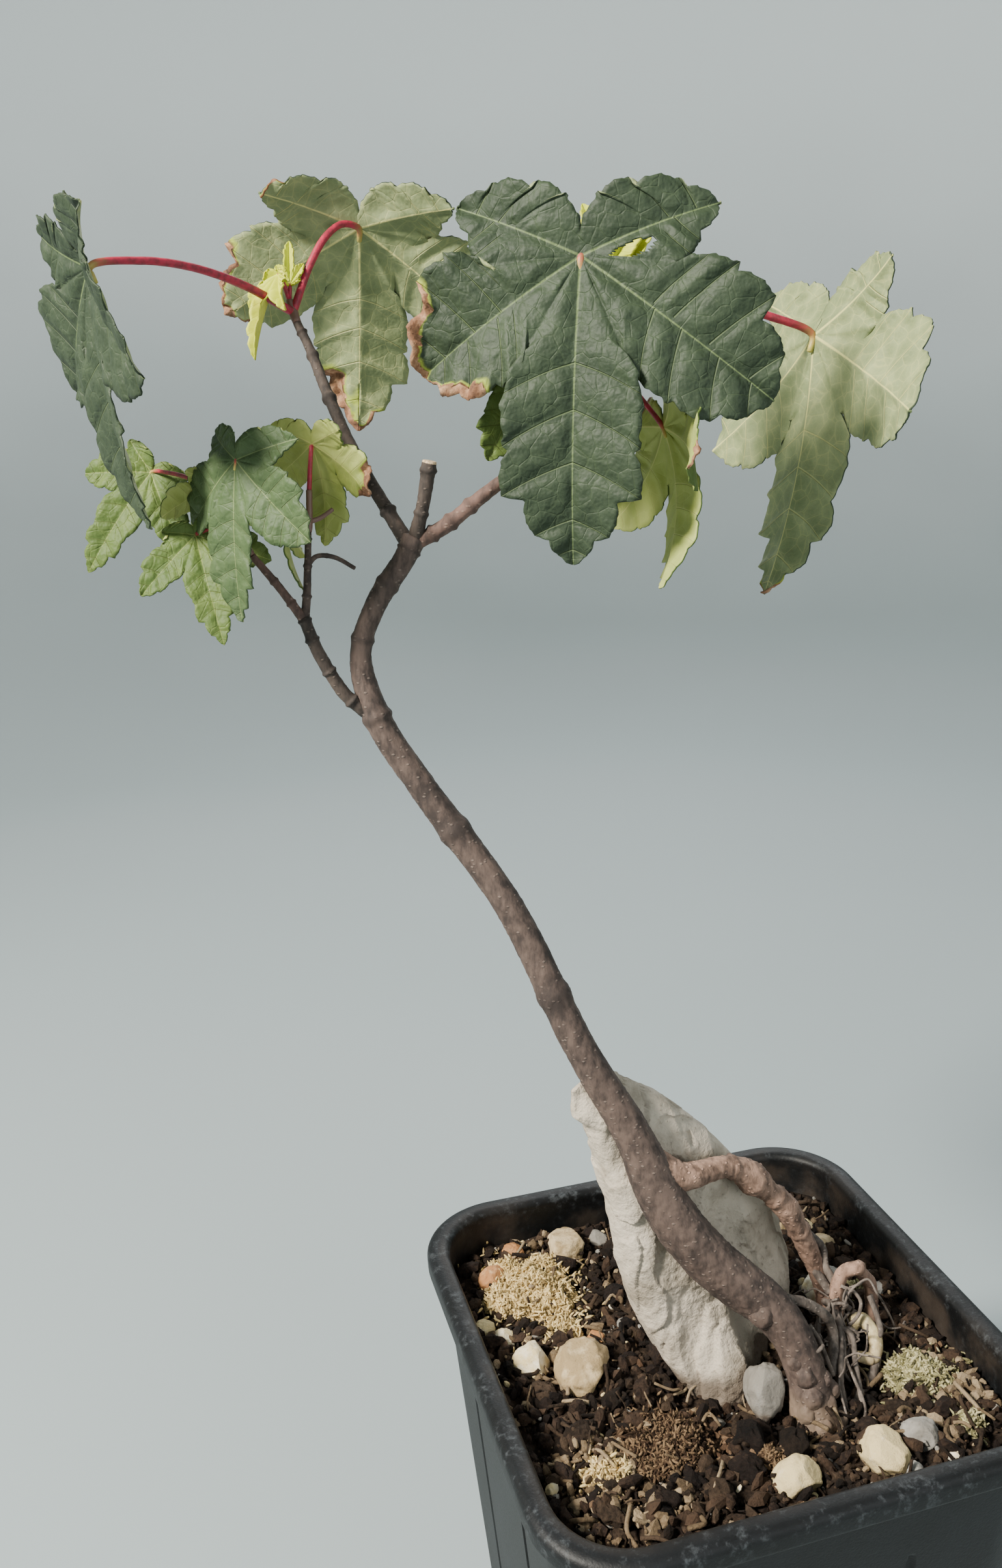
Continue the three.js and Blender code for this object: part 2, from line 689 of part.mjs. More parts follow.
// Gives an open sheet of triangles a thickness, half to each side
function thicken(middle, faces, thickness) {
  const sheet = new THREE.BufferGeometry().setFromPoints(middle);
  sheet.setIndex(faces.flat());
  sheet.computeVertexNormals();
  const normal = (k) => new THREE.Vector3().fromBufferAttribute(sheet.attributes.normal, k);
  const upper = middle.map((p, k) => p.clone().addScaledVector(normal(k), thickness / 2));
  const lower = middle.map((p, k) => p.clone().addScaledVector(normal(k), -thickness / 2));
  const count = middle.length;
  const used = new Set(faces.flatMap(([a, b, c]) => [`${a},${b}`, `${b},${c}`, `${c},${a}`]));
  const triangles = faces.flatMap(([a, b, c]) => [a, b, c, a + count, c + count, b + count]);
  for (const [a, b, c] of faces) {
    for (const [from, to] of [[a, b], [b, c], [c, a]]) {
      if (used.has(`${to},${from}`)) continue;
      triangles.push(from, from + count, to + count, from, to + count, to);
    }
  }
  return bodyOf([...upper, ...lower], triangles);
}

// A leaf's own axes: a towards the tip, n out of the upper face, b across
function leafAxes(leaf) {
  const a = heading(leaf.tip);
  const face = heading(leaf.face);
  const n = face.addScaledVector(a, -face.dot(a)).normalize();
  return { ...leaf, a, n, b: n.clone().cross(a) };
}

// The stalk from the shoot to just past the junction, under the blade
function makeStalk(leaf, start) {
  const radius = Math.max(LEAST_STALK, STALK_RADIUS * leaf.size);
  const end = vec(leaf.at).addScaledVector(leaf.n, -0.5 * radius);
  const path = new THREE.QuadraticBezierCurve3(
    start,
    start.clone().lerp(end, 0.55).add(new THREE.Vector3(0, 0, 2 * leaf.rise)),
    end,
  );
  const width = (t) => radius * (1.15 - 0.25 * t);
  const bends = [0, 0.25, 0.5, 0.75, 1].map((t) => [...path.getPoint(t).toArray(), width(t)]);
  const past = end.clone().addScaledVector(leaf.a, 0.06 * leaf.size);
  bends.push([...past.toArray(), 0.7 * radius]);
  return makeLimb(bends, { sides: 5, steps: 1 });
}

// One mass of foliage: its shoot, stalks and blades as one body
function makeFoliage({ limb, bends, leaves, spur }) {
  const limbEnd = vec(LIMBS[limb].at(-1));
  const first = vec(bends[0]);
  const away = first.clone().sub(limbEnd).normalize();
  const foot = limbEnd.clone().addScaledVector(away, 2 * CLEARANCE);
  const shoot = [[...foot.toArray(), LIMBS[limb].at(-1)[3]], ...bends];
  const parts = [makeLimb(shoot, { sides: 6, steps: 1 })];
  if (spur) parts.push(makeLimb(spur, { sides: 5, steps: 1 }));
  for (const plain of leaves) {
    const leaf = leafAxes(plain);
    parts.push(makeStalk(leaf, vec(bends[leaf.from])), makeBlade(leaf));
  }
  return largest(parts.reduce((mass, part) => mass.add(part)));
}

// A rounded stone or cushion with uneven sides
function makeLump([x, y, z], [width, depth, height], turn, spread, random, grow = 0) {
  const lump = new THREE.IcosahedronGeometry(1, 1);
  lump.deleteAttribute("normal");
  lump.deleteAttribute("uv");
  const welded = mergeVertices(lump, 1e-4);
  const place = welded.attributes.position;
  for (let k = 0; k < place.count; k++) {
    const uneven = 1 + spread * (random() * 2 - 1);
    place.setXYZ(
      k,
      place.getX(k) * (width / 2 * uneven + grow),
      place.getY(k) * (depth / 2 * uneven + grow),
      place.getZ(k) * (height / 2 * uneven + grow),
    );
  }
  welded.rotateZ(radians(turn));
  welded.translate(x, y, z);
  return toSolid(welded);
}

function stone([x, y, width, depth, height, turn], k, grow) {
  const z = soilHeight(x, y) + height * (0.5 - STONE_SINK);
  const random = seeded(100 + k);
  return makeLump([x, y, z], [width, depth, height], turn, LUMP_SPREAD, random, LUMP_GROWTH * grow);
}

function moss([x, y, width, height], k, grow) {
  const z = soilHeight(x, y);
  const random = seeded(200 + k);
  const size = [width, width * MOSS_DEPTH, height];
  return makeLump([x, y, z], size, MOSS_TURN * k, LUMP_SPREAD, random, LUMP_GROWTH * grow);
}

// Thin roots fused at their knot
function makeFineRoots(grow = 0) {
  const { knot, knotSize, ends, top, fall, fallen } = FINE_ROOTS;
  const size = [2 * knotSize, 2 * knotSize, 2.6 * knotSize];
  const lump = makeLump(knot, size, 0, 0, seeded(5), LUMP_GROWTH * grow);
  return ends.reduce((mass, [x, y, radius, arch]) => {
    const [start, finish] = [vec(knot), new THREE.Vector3(x, y, GROUND - 2)];
    const over = start.clone().lerp(finish, top).add(new THREE.Vector3(0, 0, arch));
    const down = start.clone().lerp(finish, fall).add(new THREE.Vector3(0, 0, arch * fallen));
    const bends = [start, over, down, finish].map((p) => [...p.toArray(), radius]);
    return mass.add(makeLimb(bends, { sides: 6, steps: 3, grow }));
  }, lump);
}

const underGround = below(GROUND);
const underClearance = below(GROUND - CLEARANCE);
const limb = (name, grow = 0) => makeLimb(LIMBS[name], { sides: 7, steps: 2, grow });
const trunkBody = (grow = 0) => makeLimb(TRUNK, { sides: 10, steps: 2, grow });

const trunk = trunkBody().subtract(underGround);
const trunkRoom = trunkBody(CLEARANCE);
const overRockRoom = limb("over_rock_root", CLEARANCE);
const fineRoom = makeFineRoots(CLEARANCE);
const paleRoom = limb("pale_root", CLEARANCE);
const overRockRoot = largest(limb("over_rock_root").subtract(trunkRoom).subtract(underGround));
const fineCuts = [trunkRoom, overRockRoom, underGround];
const fineRoots = largest(fineCuts.reduce((body, cut) => body.subtract(cut), makeFineRoots()));
const paleRoot = largest(limb("pale_root").subtract(fineRoom).subtract(trunkRoom).subtract(underGround));
const rockCuts = [trunkRoom, overRockRoom, fineRoom, paleRoom, underGround];
const rock = largest(rockCuts.reduce((body, cut) => body.subtract(cut), makeRock()));

const soilCuts = [trunkRoom, overRockRoom, fineRoom, paleRoom, makeRock(1.5 * CLEARANCE)]
  .map((room) => room.subtract(underClearance));
const standing = [trunkRoom, overRockRoom, fineRoom, paleRoom, makeRock(CLEARANCE)];
const clearOf = (body, rooms) => largest(rooms.reduce((left, room) => left.subtract(room), body));

add("pot", makePot(), "plastic");
const stoneRooms = [];
STONES.forEach((spec, k) => {
  const body = clearOf(stone(spec, k, 0), [...standing, ...stoneRooms]);
  add(`stone_${String(k + 1).padStart(2, "0")}`, body, spec[6]);
  stoneRooms.push(stone(spec, k, CLEARANCE));
});
const mossRooms = [];
MOSS.forEach((spec, k) => {
  const body = clearOf(moss(spec, k, 0), [...standing, ...stoneRooms, ...mossRooms]);
  add(`moss_${k + 1}`, body, "moss");
  mossRooms.push(moss(spec, k, CLEARANCE));
});
add("soil", makeSoil([...soilCuts, ...stoneRooms, ...mossRooms]), "soil");
add("rock", rock, "rock");
add("trunk", trunk, "bark");
add("over_rock_root", overRockRoot, "root");
add("fine_roots", fineRoots, "root");
add("pale_root", paleRoot, "paleRoot");

const cutFrom = [trunkRoom];
for (const name of Object.keys(LIMBS).filter((key) => !key.endsWith("root"))) {
  add(name, clearOf(limb(name), cutFrom), "bark");
  cutFrom.push(limb(name, CLEARANCE));
}
for (const [name, shoot] of Object.entries(SHOOTS)) {
  add(name, makeFoliage(shoot), name.startsWith("side") ? "youngLeaf" : "leaf");
}

export default plant;
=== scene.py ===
"""A sycamore maple sapling, trained root-over-rock in a square nursery pot, dressed for rendering.

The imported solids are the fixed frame. Places and sizes are in millimetres on the frame's axes:
the origin is the centre of the pot's flat underside, +X runs to the right along its front wall,
+Y runs away from that wall and +Z is up. They become metres where a mesh is made.
"""

import logging
import math
from dataclasses import dataclass, field
from enum import Enum
from typing import Any, Sequence, Union

import bpy
import numpy as np
from mathutils import Matrix, Vector

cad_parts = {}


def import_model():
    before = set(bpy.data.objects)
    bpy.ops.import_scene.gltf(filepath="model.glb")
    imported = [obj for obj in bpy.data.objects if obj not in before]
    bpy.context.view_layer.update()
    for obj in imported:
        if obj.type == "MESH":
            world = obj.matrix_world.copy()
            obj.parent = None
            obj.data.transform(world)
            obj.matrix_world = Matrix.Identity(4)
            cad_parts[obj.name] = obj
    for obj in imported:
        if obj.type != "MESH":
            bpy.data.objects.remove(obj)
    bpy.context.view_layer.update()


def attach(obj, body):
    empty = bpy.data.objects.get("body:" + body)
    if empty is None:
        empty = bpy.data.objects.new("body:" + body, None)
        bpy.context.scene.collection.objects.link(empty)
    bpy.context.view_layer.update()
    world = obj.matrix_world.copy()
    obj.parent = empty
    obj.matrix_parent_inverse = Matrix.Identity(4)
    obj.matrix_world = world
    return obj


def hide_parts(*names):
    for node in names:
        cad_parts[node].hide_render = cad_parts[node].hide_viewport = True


Array = np.ndarray
Material = bpy.types.Material
Triple = tuple[float, float, float]
Four = tuple[float, float, float, float]
Colour = Four
Bend = Four

MM = 0.001
LOG = logging.getLogger("maple")


# Numbers and noise


def smooth(value: Array, low: float = 0, high: float = 1) -> Array:
    """Rises from 0 where value is low to 1 where it is high, with level ends: 3t^2 - 2t^3."""
    t = np.clip((value - low) / (high - low), 0, 1)
    return t * t * (3 - 2 * t)


def lattice(cells: Array, seed: int) -> Array:
    """A repeatable number for each cell, by mixing the bits of its three whole numbers.

    Args:
        cells: Whole numbers, shape (..., 3).
        seed: Picks the pattern.

    Returns:
        Numbers from -1 to 1, shape (...).
    """
    x, y, z = (cells[..., k].astype(np.int64).astype(np.uint64) for k in range(3))
    with np.errstate(over="ignore"):
        mixed = x * np.uint64(374761393) + y * np.uint64(668265263) + z * np.uint64(2246822519)
        mixed = mixed + np.uint64(seed) * np.uint64(3266489917)
        mixed = (mixed ^ (mixed >> np.uint64(15))) * np.uint64(2654435761)
        mixed = (mixed ^ (mixed >> np.uint64(13))) * np.uint64(1597334677)
    return ((mixed >> np.uint64(16)) & np.uint64(0xFFFFFF)).astype(float) / 0x7FFFFF - 1


def noise(points: Array, pitch: float, seed: int, octaves: int = 1) -> Array:
    """Smooth random relief: lattice values blended between the eight corners of each cell.

    Args:
        points: Places, shape (..., 3).
        pitch: Size of the first octave's cells.
        seed: Picks the pattern.
        octaves: Each one more adds half the height at half the pitch.

    Returns:
        Numbers of about -1 to 1, shape (...).
    """
    total = np.zeros(points.shape[:-1])
    reach = 0
    for octave in range(octaves):
        gain = 0.5**octave
        scaled = points / (pitch * gain)
        base = np.floor(scaled)
        share = smooth(scaled - base)
        layer = np.zeros_like(total)
        for corner in np.ndindex(2, 2, 2):
            step = np.array(corner)
            weight = np.prod(np.where(step == 1, share, 1 - share), axis=-1)
            layer += weight * lattice(base + step, seed + 17 * octave)
        total += gain * layer
        reach += gain
    return total / reach


def heading(azimuth: float, elevation: float) -> Array:
    """The unit vector of an azimuth and an elevation in degrees."""
    a, e = math.radians(azimuth), math.radians(elevation)
    return np.array([math.cos(e) * math.cos(a), math.cos(e) * math.sin(a), math.sin(e)])


def unit(vectors: Array) -> Array:
    """The same directions with length one; the last axis holds x, y and z."""
    return vectors / (np.linalg.norm(vectors, axis=-1, keepdims=True) + 1e-12)


def circle(count: int) -> tuple[Array, Array]:
    """Cosines and sines of evenly spaced angles all the way round."""
    angle = np.linspace(0, 2 * math.pi, count, endpoint=False)
    return np.cos(angle), np.sin(angle)


def spline(controls: Array, stations: Array) -> Array:
    """A centripetal Catmull-Rom curve, the one that the solids' limbs follow.

    Each stretch is the cubic with its two controls' places and slopes; a slope comes from the
    three nearest controls, with knots spaced by the square roots of the chords.

    Args:
        controls: The bends, shape (n, 3).
        stations: Where to read it; 2.5 is halfway from the third bend to the fourth.

    Returns:
        Places, shape (len(stations), 3).
    """
    carried = np.vstack([2 * controls[0] - controls[1], controls, 2 * controls[-1] - controls[-2]])
    span = np.clip(np.floor(stations).astype(int), 0, len(controls) - 2)
    t = (stations - span)[:, None]
    p0, p1, p2, p3 = (carried[span + k] for k in range(4))
    d0, d1, d2 = (
        np.sqrt(np.linalg.norm(b - a, axis=1, keepdims=True)) for a, b in ((p0, p1), (p1, p2), (p2, p3))
    )
    slope1 = ((p1 - p0) / d0 - (p2 - p0) / (d0 + d1) + (p2 - p1) / d1) * d1
    slope2 = ((p2 - p1) / d1 - (p3 - p1) / (d1 + d2) + (p3 - p2) / d2) * d1
    square, cube = t * t, t * t * t
    near = (2 * cube - 3 * square + 1) * p1 + (cube - 2 * square + t) * slope1
    return near + (3 * square - 2 * cube) * p2 + (cube - square) * slope2


# Meshes


@dataclass
class Surface:
    """Vertices and quads, with values per vertex and a finish number per quad."""

    points: Array
    quads: Array
    values: dict[str, Array] = field(default_factory=dict)
    finish: Array | int = 0

    def __post_init__(self) -> None:
        """Spreads a single finish number over the quads."""
        self.finish = np.broadcast_to(self.finish, len(self.quads))

    @classmethod
    def of_grid(cls, grid: Array, around: bool = False, values: dict[str, Array] | None = None) -> "Surface":
        """A surface through a grid of places.

        Args:
            grid: Places, shape (rows, columns, 3).
            around: Whether the last column joins the first.
            values: Values per place, shape (rows, columns).

        Returns:
            The surface, facing along row direction x column direction.
        """
        rows, columns = grid.shape[:2]
        number = np.arange(rows * columns).reshape(rows, columns)
        ahead = np.roll(number, -1, axis=1) if around else number[:, 1:]
        here = number if around else number[:, :-1]
        quads = np.stack([here[:-1], here[1:], ahead[1:], ahead[:-1]], axis=-1).reshape(-1, 4)
        flat = {name: value.reshape(-1) for name, value in (values or {}).items()}
        return cls(grid.reshape(-1, 3), quads, flat)

    @classmethod
    def joined(cls, parts: Sequence["Surface"]) -> "Surface":
        """All parts as one surface; a value that a part lacks is zero there.

        Args:
            parts: The surfaces.

        Returns:
            The joined surface.
        """
        starts = np.cumsum([0] + [len(part.points) for part in parts[:-1]])
        names = sorted({name for part in parts for name in part.values})
        return cls(
            np.vstack([p.points for p in parts]),
            np.vstack([p.quads + start for p, start in zip(parts, starts)]),
            {k: np.concatenate([p.values.get(k, np.zeros(len(p.points))) for p in parts]) for k in names},
            np.concatenate([p.finish for p in parts]),
        )

    def flipped(self) -> "Surface":
        """The same surface facing the other way."""
        return Surface(self.points, self.quads[:, ::-1].copy(), self.values, self.finish)

    def welded(self, reach: float = 0.01) -> "Surface":
        """Makes vertices one where they lie close together.

        Args:
            reach: Size of the cells in which they count as one.

        Returns:
            The surface without the quads that lost all but two corners.
        """
        cells = np.round(self.points / reach).astype(np.int64)
        _, first, number = np.unique(cells, axis=0, return_index=True, return_inverse=True)
        quads = number.reshape(-1)[self.quads]
        keep = (np.diff(np.sort(quads, axis=1), axis=1) > 0).sum(axis=1) >= 2
        values = {name: value[first] for name, value in self.values.items()}
        return Surface(self.points[first], quads[keep], values, self.finish[keep])

    def marked(self, name: str, value: float) -> "Surface":
        """The same surface with one value set all over it."""
        self.values[name] = np.full(len(self.points), value)
        return self

    def object(self, name: str, finishes: Sequence["Finish"], shade_smooth: bool = True) -> bpy.types.Object:
        """Makes the Blender object, in metres, and links it to the scene.

        Args:
            name: The piece's name.
            finishes: Its material slots in order.
            shade_smooth: Whether faces are shaded smooth.

        Returns:
            The new object.
        """
        repeated = self.quads == np.roll(self.quads, 1, axis=1)
        corners, counts = self.quads[~repeated], 4 - repeated.sum(axis=1)
        mesh = bpy.data.meshes.new(name)
        mesh.vertices.add(len(self.points))
        mesh.vertices.foreach_set("co", (self.points * MM).astype(np.float32).ravel())
        mesh.loops.add(len(corners))
        mesh.loops.foreach_set("vertex_index", corners.astype(np.int32))
        mesh.polygons.add(len(counts))
        mesh.polygons.foreach_set("loop_start", (np.cumsum(counts) - counts).astype(np.int32))
        mesh.polygons.foreach_set("use_smooth", np.full(len(counts), shade_smooth))
        mesh.polygons.foreach_set("material_index", self.finish.astype(np.int32))
        for label, value in self.values.items():
            layer = mesh.attributes.new(label, "FLOAT", "POINT")
            layer.data.foreach_set("value", value.astype(np.float32))
        mesh.update(calc_edges=True)
        mesh.validate()
        for finish in finishes:
            mesh.materials.append(finish.material())
        made = bpy.data.objects.new(name, mesh)
        bpy.context.scene.collection.objects.link(made)
        return made


def place(piece: bpy.types.Object, slot: str, *nodes: str) -> None:
    """Rides a piece on the body, hides the nodes it stands for, and logs it with their names.

    Args:
        piece: The object.
        slot: The record's material slot; not used.
        nodes: The CAD nodes that it replaces.
    """
    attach(piece, "root")
    if nodes:
        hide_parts(*nodes)
    stands = ", ".join(nodes) or "itself"
    LOG.info("%s: %d faces, stands for %s", piece.name, len(piece.data.polygons), stands)


# Finishes


def tint(code: str) -> Colour:
    """Linear light for a screen colour written as six hexadecimal digits."""
    parts = [int(code[k : k + 2], 16) / 255 for k in (0, 2, 4)]
    linear = [p / 12.92 if p <= 0.04045 else ((p + 0.055) / 1.055) ** 2.4 for p in parts]
    return (linear[0], linear[1], linear[2], 1)


def tints(codes: str) -> tuple[Colour, ...]:
    """The tints of several codes with spaces between them."""
    return tuple(tint(code) for code in codes.split())


Value = Union["Wire", float]
Shade = Union["Wire", Colour]


class Wire:
    """A shader socket; each operator on it adds one Math node."""

    def __init__(self, bench: "Bench", socket: bpy.types.NodeSocket) -> None:
        """Remembers the bench and the socket."""
        self.bench = bench
        self.socket = socket

    def _sum(self, operation: str, first: Value, second: Value) -> "Wire":
        """One Math node on two values."""
        made = self.bench.node("ShaderNodeMath", {"operation": operation}, {0: first, 1: second})
        return Wire(self.bench, made.outputs[0])

    def __add__(self, other: Value) -> "Wire":
        """self + other."""
        return self._sum("ADD", self, other)

    __radd__ = __add__

    def __mul__(self, other: Value) -> "Wire":
        """self times other."""
        return self._sum("MULTIPLY", self, other)

    __rmul__ = __mul__

    def __sub__(self, other: Value) -> "Wire":
        """self - other."""
        return self._sum("SUBTRACT", self, other)

    def __rsub__(self, other: Value) -> "Wire":
        """other - self."""
        return self._sum("SUBTRACT", other, self)

    def band(self, low: float, high: float) -> "Wire":
        """0 below low, 1 above high and smooth between."""
        limits = {"Value": self, "From Min": low, "From Max": high}
        made = self.bench.node("ShaderNodeMapRange", {"interpolation_type": "SMOOTHSTEP"}, limits)
        return Wire(self.bench, made.outputs["Result"])


class Bench:
    """Builds one material's node tree."""

    def __init__(self, name: str) -> None:
        """Starts an empty material of that name."""
        self.made = bpy.data.materials.new(name)
        self.made.use_nodes = True
        self.tree = self.made.node_tree
        self.tree.nodes.clear()

    def node(self, kind: str, settings: dict[str, Any], inputs: dict[Any, Any]) -> bpy.types.Node:
        """Adds one node.

        Args:
            kind: Its type name.
            settings: Its properties.
            inputs: Values or wires by socket name or number.

        Returns:
            The node.
        """
        made = self.tree.nodes.new(kind)
        for key, value in settings.items():
            setattr(made, key, value)
        for key, value in inputs.items():
            if isinstance(value, Wire):
                self.tree.links.new(value.socket, made.inputs[key])
            else:
                made.inputs[key].default_value = value
        return made

    def here(self) -> Wire:
        """The Object coordinates."""
        return Wire(self, self.node("ShaderNodeTexCoord", {}, {}).outputs["Object"])

    def stretched(self, factors: Triple) -> Wire:
        """The Object coordinates with each axis scaled."""
        inputs = {"Vector": self.here(), "Scale": factors}
        return Wire(self, self.node("ShaderNodeMapping", {}, inputs).outputs["Vector"])

    def value(self, name: str) -> Wire:
        """The piece's own value of that name."""
        return Wire(self, self.node("ShaderNodeAttribute", {"attribute_name": name}, {}).outputs["Fac"])

    def grain(self, pitch: float, detail: float = 3, rough: float = 0.55, at: Wire | None = None) -> Wire:
        """Noise from 0 to 1 whose cells are about pitch millimetres."""
        inputs = dict(Vector=at or self.here(), Scale=1 / (pitch * MM), Detail=detail, Roughness=rough)
        return Wire(self, self.node("ShaderNodeTexNoise", {}, inputs).outputs["Fac"])

    def cells(self, pitch: float, feature: str = "F1", at: Wire | None = None) -> Wire:
        """The distance pattern of cells that are about pitch millimetres across."""
        inputs = {"Vector": at or self.here(), "Scale": 1 / (pitch * MM)}
        return Wire(self, self.node("ShaderNodeTexVoronoi", {"feature": feature}, inputs).outputs["Distance"])

    def ramp(self, value: Value, stops: Sequence[tuple[float, Colour]]) -> Wire:
        """A colour read by a value from three stops, each a position and a colour."""
        made = self.node("ShaderNodeValToRGB", {}, {"Fac": value})
        made.color_ramp.elements.new(0.5)
        for element, (position, colour) in zip(made.color_ramp.elements, stops):
            element.position, element.color = position, colour
        return Wire(self, made.outputs["Color"])

    def mixed(self, share: Value, first: Shade, second: Shade) -> Wire:
        """The first colour where share is 0 and the second where it is 1."""
        settings = {"data_type": "RGBA", "clamp_factor": True}
        return Wire(self, self.node("ShaderNodeMix", settings, {0: share, 6: first, 7: second}).outputs[2])

    def finished(
        self, colour: Shade, rough: Value, relief: Value = 0, depth: float = 0, shine: float = 0.5
    ) -> Material:
        """Closes the material with a Principled shader.

        Args:
            colour: Its base colour.
            rough: Its roughness.
            relief: Its relief, from 0 to 1.
            depth: The relief's full height; without one there is none.
            shine: Its specular level.

        Returns:
            The material.
        """
        inputs = {"Base Color": colour, "Roughness": rough, "Specular IOR Level": shine}
        if depth:
            bump = self.node("ShaderNodeBump", {}, {"Height": relief, "Distance": depth * MM})
            inputs["Normal"] = Wire(self, bump.outputs["Normal"])
        shader = self.node("ShaderNodeBsdfPrincipled", {}, inputs)
        self.node("ShaderNodeOutputMaterial", {}, {"Surface": Wire(self, shader.outputs[0])})
        return self.made


@dataclass(frozen=True)
class Finish:
    """A surface finish; its material is made once."""

    name: str

    def material(self) -> Material:
        """The finish's material."""
        return bpy.data.materials.get(self.name) or self.build(Bench(self.name))

    def build(self, bench: Bench) -> Material:
        """Builds the nodes, each kind of finish in its own way.

        Args:
            bench: The new material's bench.

        Returns:
            The finished material.
        """
        raise NotImplementedError


@dataclass(frozen=True)
class MouldedPlastic(Finish):
    """Black moulded plastic, scuffed pale on its rim, with dust and splashes of soil."""

    black: Colour = tint("070809")
    faded: Colour = tint("101215")
    worn: Colour = tint("6d7378")
    dust: Colour = tint("3d342c")

    def build(self, bench: Bench) -> Material:
        """Scuffs follow the rim value, dust the broad noise, and a fine grain roughens all."""
        rim, inside = bench.value("rim"), bench.value("inside")
        fine = bench.grain(0.5, 4)
        broad = bench.grain(16, 4)
        streaks = bench.grain(5, 5, 0.6, bench.stretched((1, 1, 0.22)))
        scratch = bench.grain(1.6, 5, 0.7)
        scuff = rim * (scratch * 0.6 + streaks * 0.4).band(0.5, 0.72) * 0.4
        colour = bench.mixed(broad.band(0.35, 0.75), self.black, self.faded)
        colour = bench.mixed(scuff, colour, self.worn)
        colour = bench.mixed(inside * broad.band(0.42, 0.62) * 0.6, colour, self.dust)
        rough = 0.46 + 0.12 * fine + 0.2 * scuff
        return bench.finished(colour, rough, fine * 0.5 + scratch * 0.5, 0.12, shine=0.3)


@dataclass(frozen=True)
class Earth(Finish):
    """Loose potting mix: dark crumbs, brown bark dust and specks of grit."""

    dark: Colour = tint("0d0907")
    brown: Colour = tint("211913")
    light: Colour = tint("46382c")

    def build(self, bench: Bench) -> Material:
        """Three browns by two noises and each crumb's own tone."""
        clumps, dusty = bench.grain(5, 6, 0.65), bench.grain(0.7, 5, 0.7)
        blend = clumps * 0.55 + dusty * 0.45 + bench.value("tone") * 0.35 - 0.12
        colour = bench.ramp(blend, [(0.28, self.dark), (0.5, self.brown), (0.74, self.light)])
        return bench.finished(colour, 0.95, dusty * 0.7 + clumps * 0.3, 0.7, shine=0.2)


@dataclass(frozen=True)
class Mineral(Finish):
    """Stone: a base colour clouded with a second one, and small pits."""

    base: Colour
    cloud: Colour
    pit: Colour
    pitch: float = 6
    relief: float = 0.35
    dirt: Colour = tint("4a3a2c")

    def build(self, bench: Bench) -> Material:
        """Clouds by broad noise, pits by fine noise, dirt by the stain value."""
        broad = bench.grain(self.pitch, 5, 0.6)
        fine = bench.grain(self.pitch / 8, 4, 0.6)
        colour = bench.mixed((broad + bench.value("tone") * 0.3).band(0.4, 0.68), self.base, self.cloud)
        colour = bench.mixed(fine.band(0.6, 0.72) * 0.55, colour, self.pit)
        stain = (bench.value("stain") + broad * 0.6 - 0.3).band(0.2, 0.8)
        colour = bench.mixed(stain * 0.8, colour, self.dirt)
        return bench.finished(colour, 0.78 + 0.15 * fine, broad * 0.6 + fine * 0.4, self.relief)


@dataclass(frozen=True)
class Bark(Finish):
    """Young bark: two browns in long streaks, pale breathing pores and darker rings."""

    light: Colour = tint("5b4b43")
    dark: Colour = tint("2c221e")
    pore: Colour = tint("7c6d63")
    relief: float = 0.25
    soiled: Colour = tint("96806a")

    def build(self, bench: Bench) -> Material:
        """Streaks along the height, bright cells as pores, soil by crust, scars by ring."""
        streaks = bench.grain(1.6, 5, 0.65, bench.stretched((1, 1, 0.4)))
        blotch = bench.grain(9, 3)
        pores = 1 - bench.cells(1.7, at=bench.stretched((1, 1, 1.6))).band(0.1, 0.26)
        low = bench.value("crust")
        crust = (low + (blotch - 0.5) * 1.2 * low).band(0.25, 0.75)
        colour = bench.mixed((streaks * 0.6 + blotch * 0.4).band(0.36, 0.64), self.dark, self.light)
        colour = bench.mixed(crust * 0.42, colour, self.soiled)
        colour = bench.mixed(pores * 0.5, colour, self.pore)
        colour = bench.mixed(bench.value("ring") * 0.6, colour, self.dark)
        return bench.finished(colour, 0.82, streaks * 0.6 + pores * 0.4, self.relief)


@dataclass(frozen=True)
class CutWood(Finish):
    """The pale face of a cut stub, a little cracked."""

    fresh: Colour = tint("c9b08d")
    old: Colour = tint("8c7256")

    def build(self, bench: Bench) -> Material:
        """Old and fresh wood by fine noise."""
        fine = bench.grain(0.5, 4)
        colour = bench.mixed(fine.band(0.35, 0.7), self.fresh, self.old)
        return bench.finished(colour, 0.8, fine, 0.2)


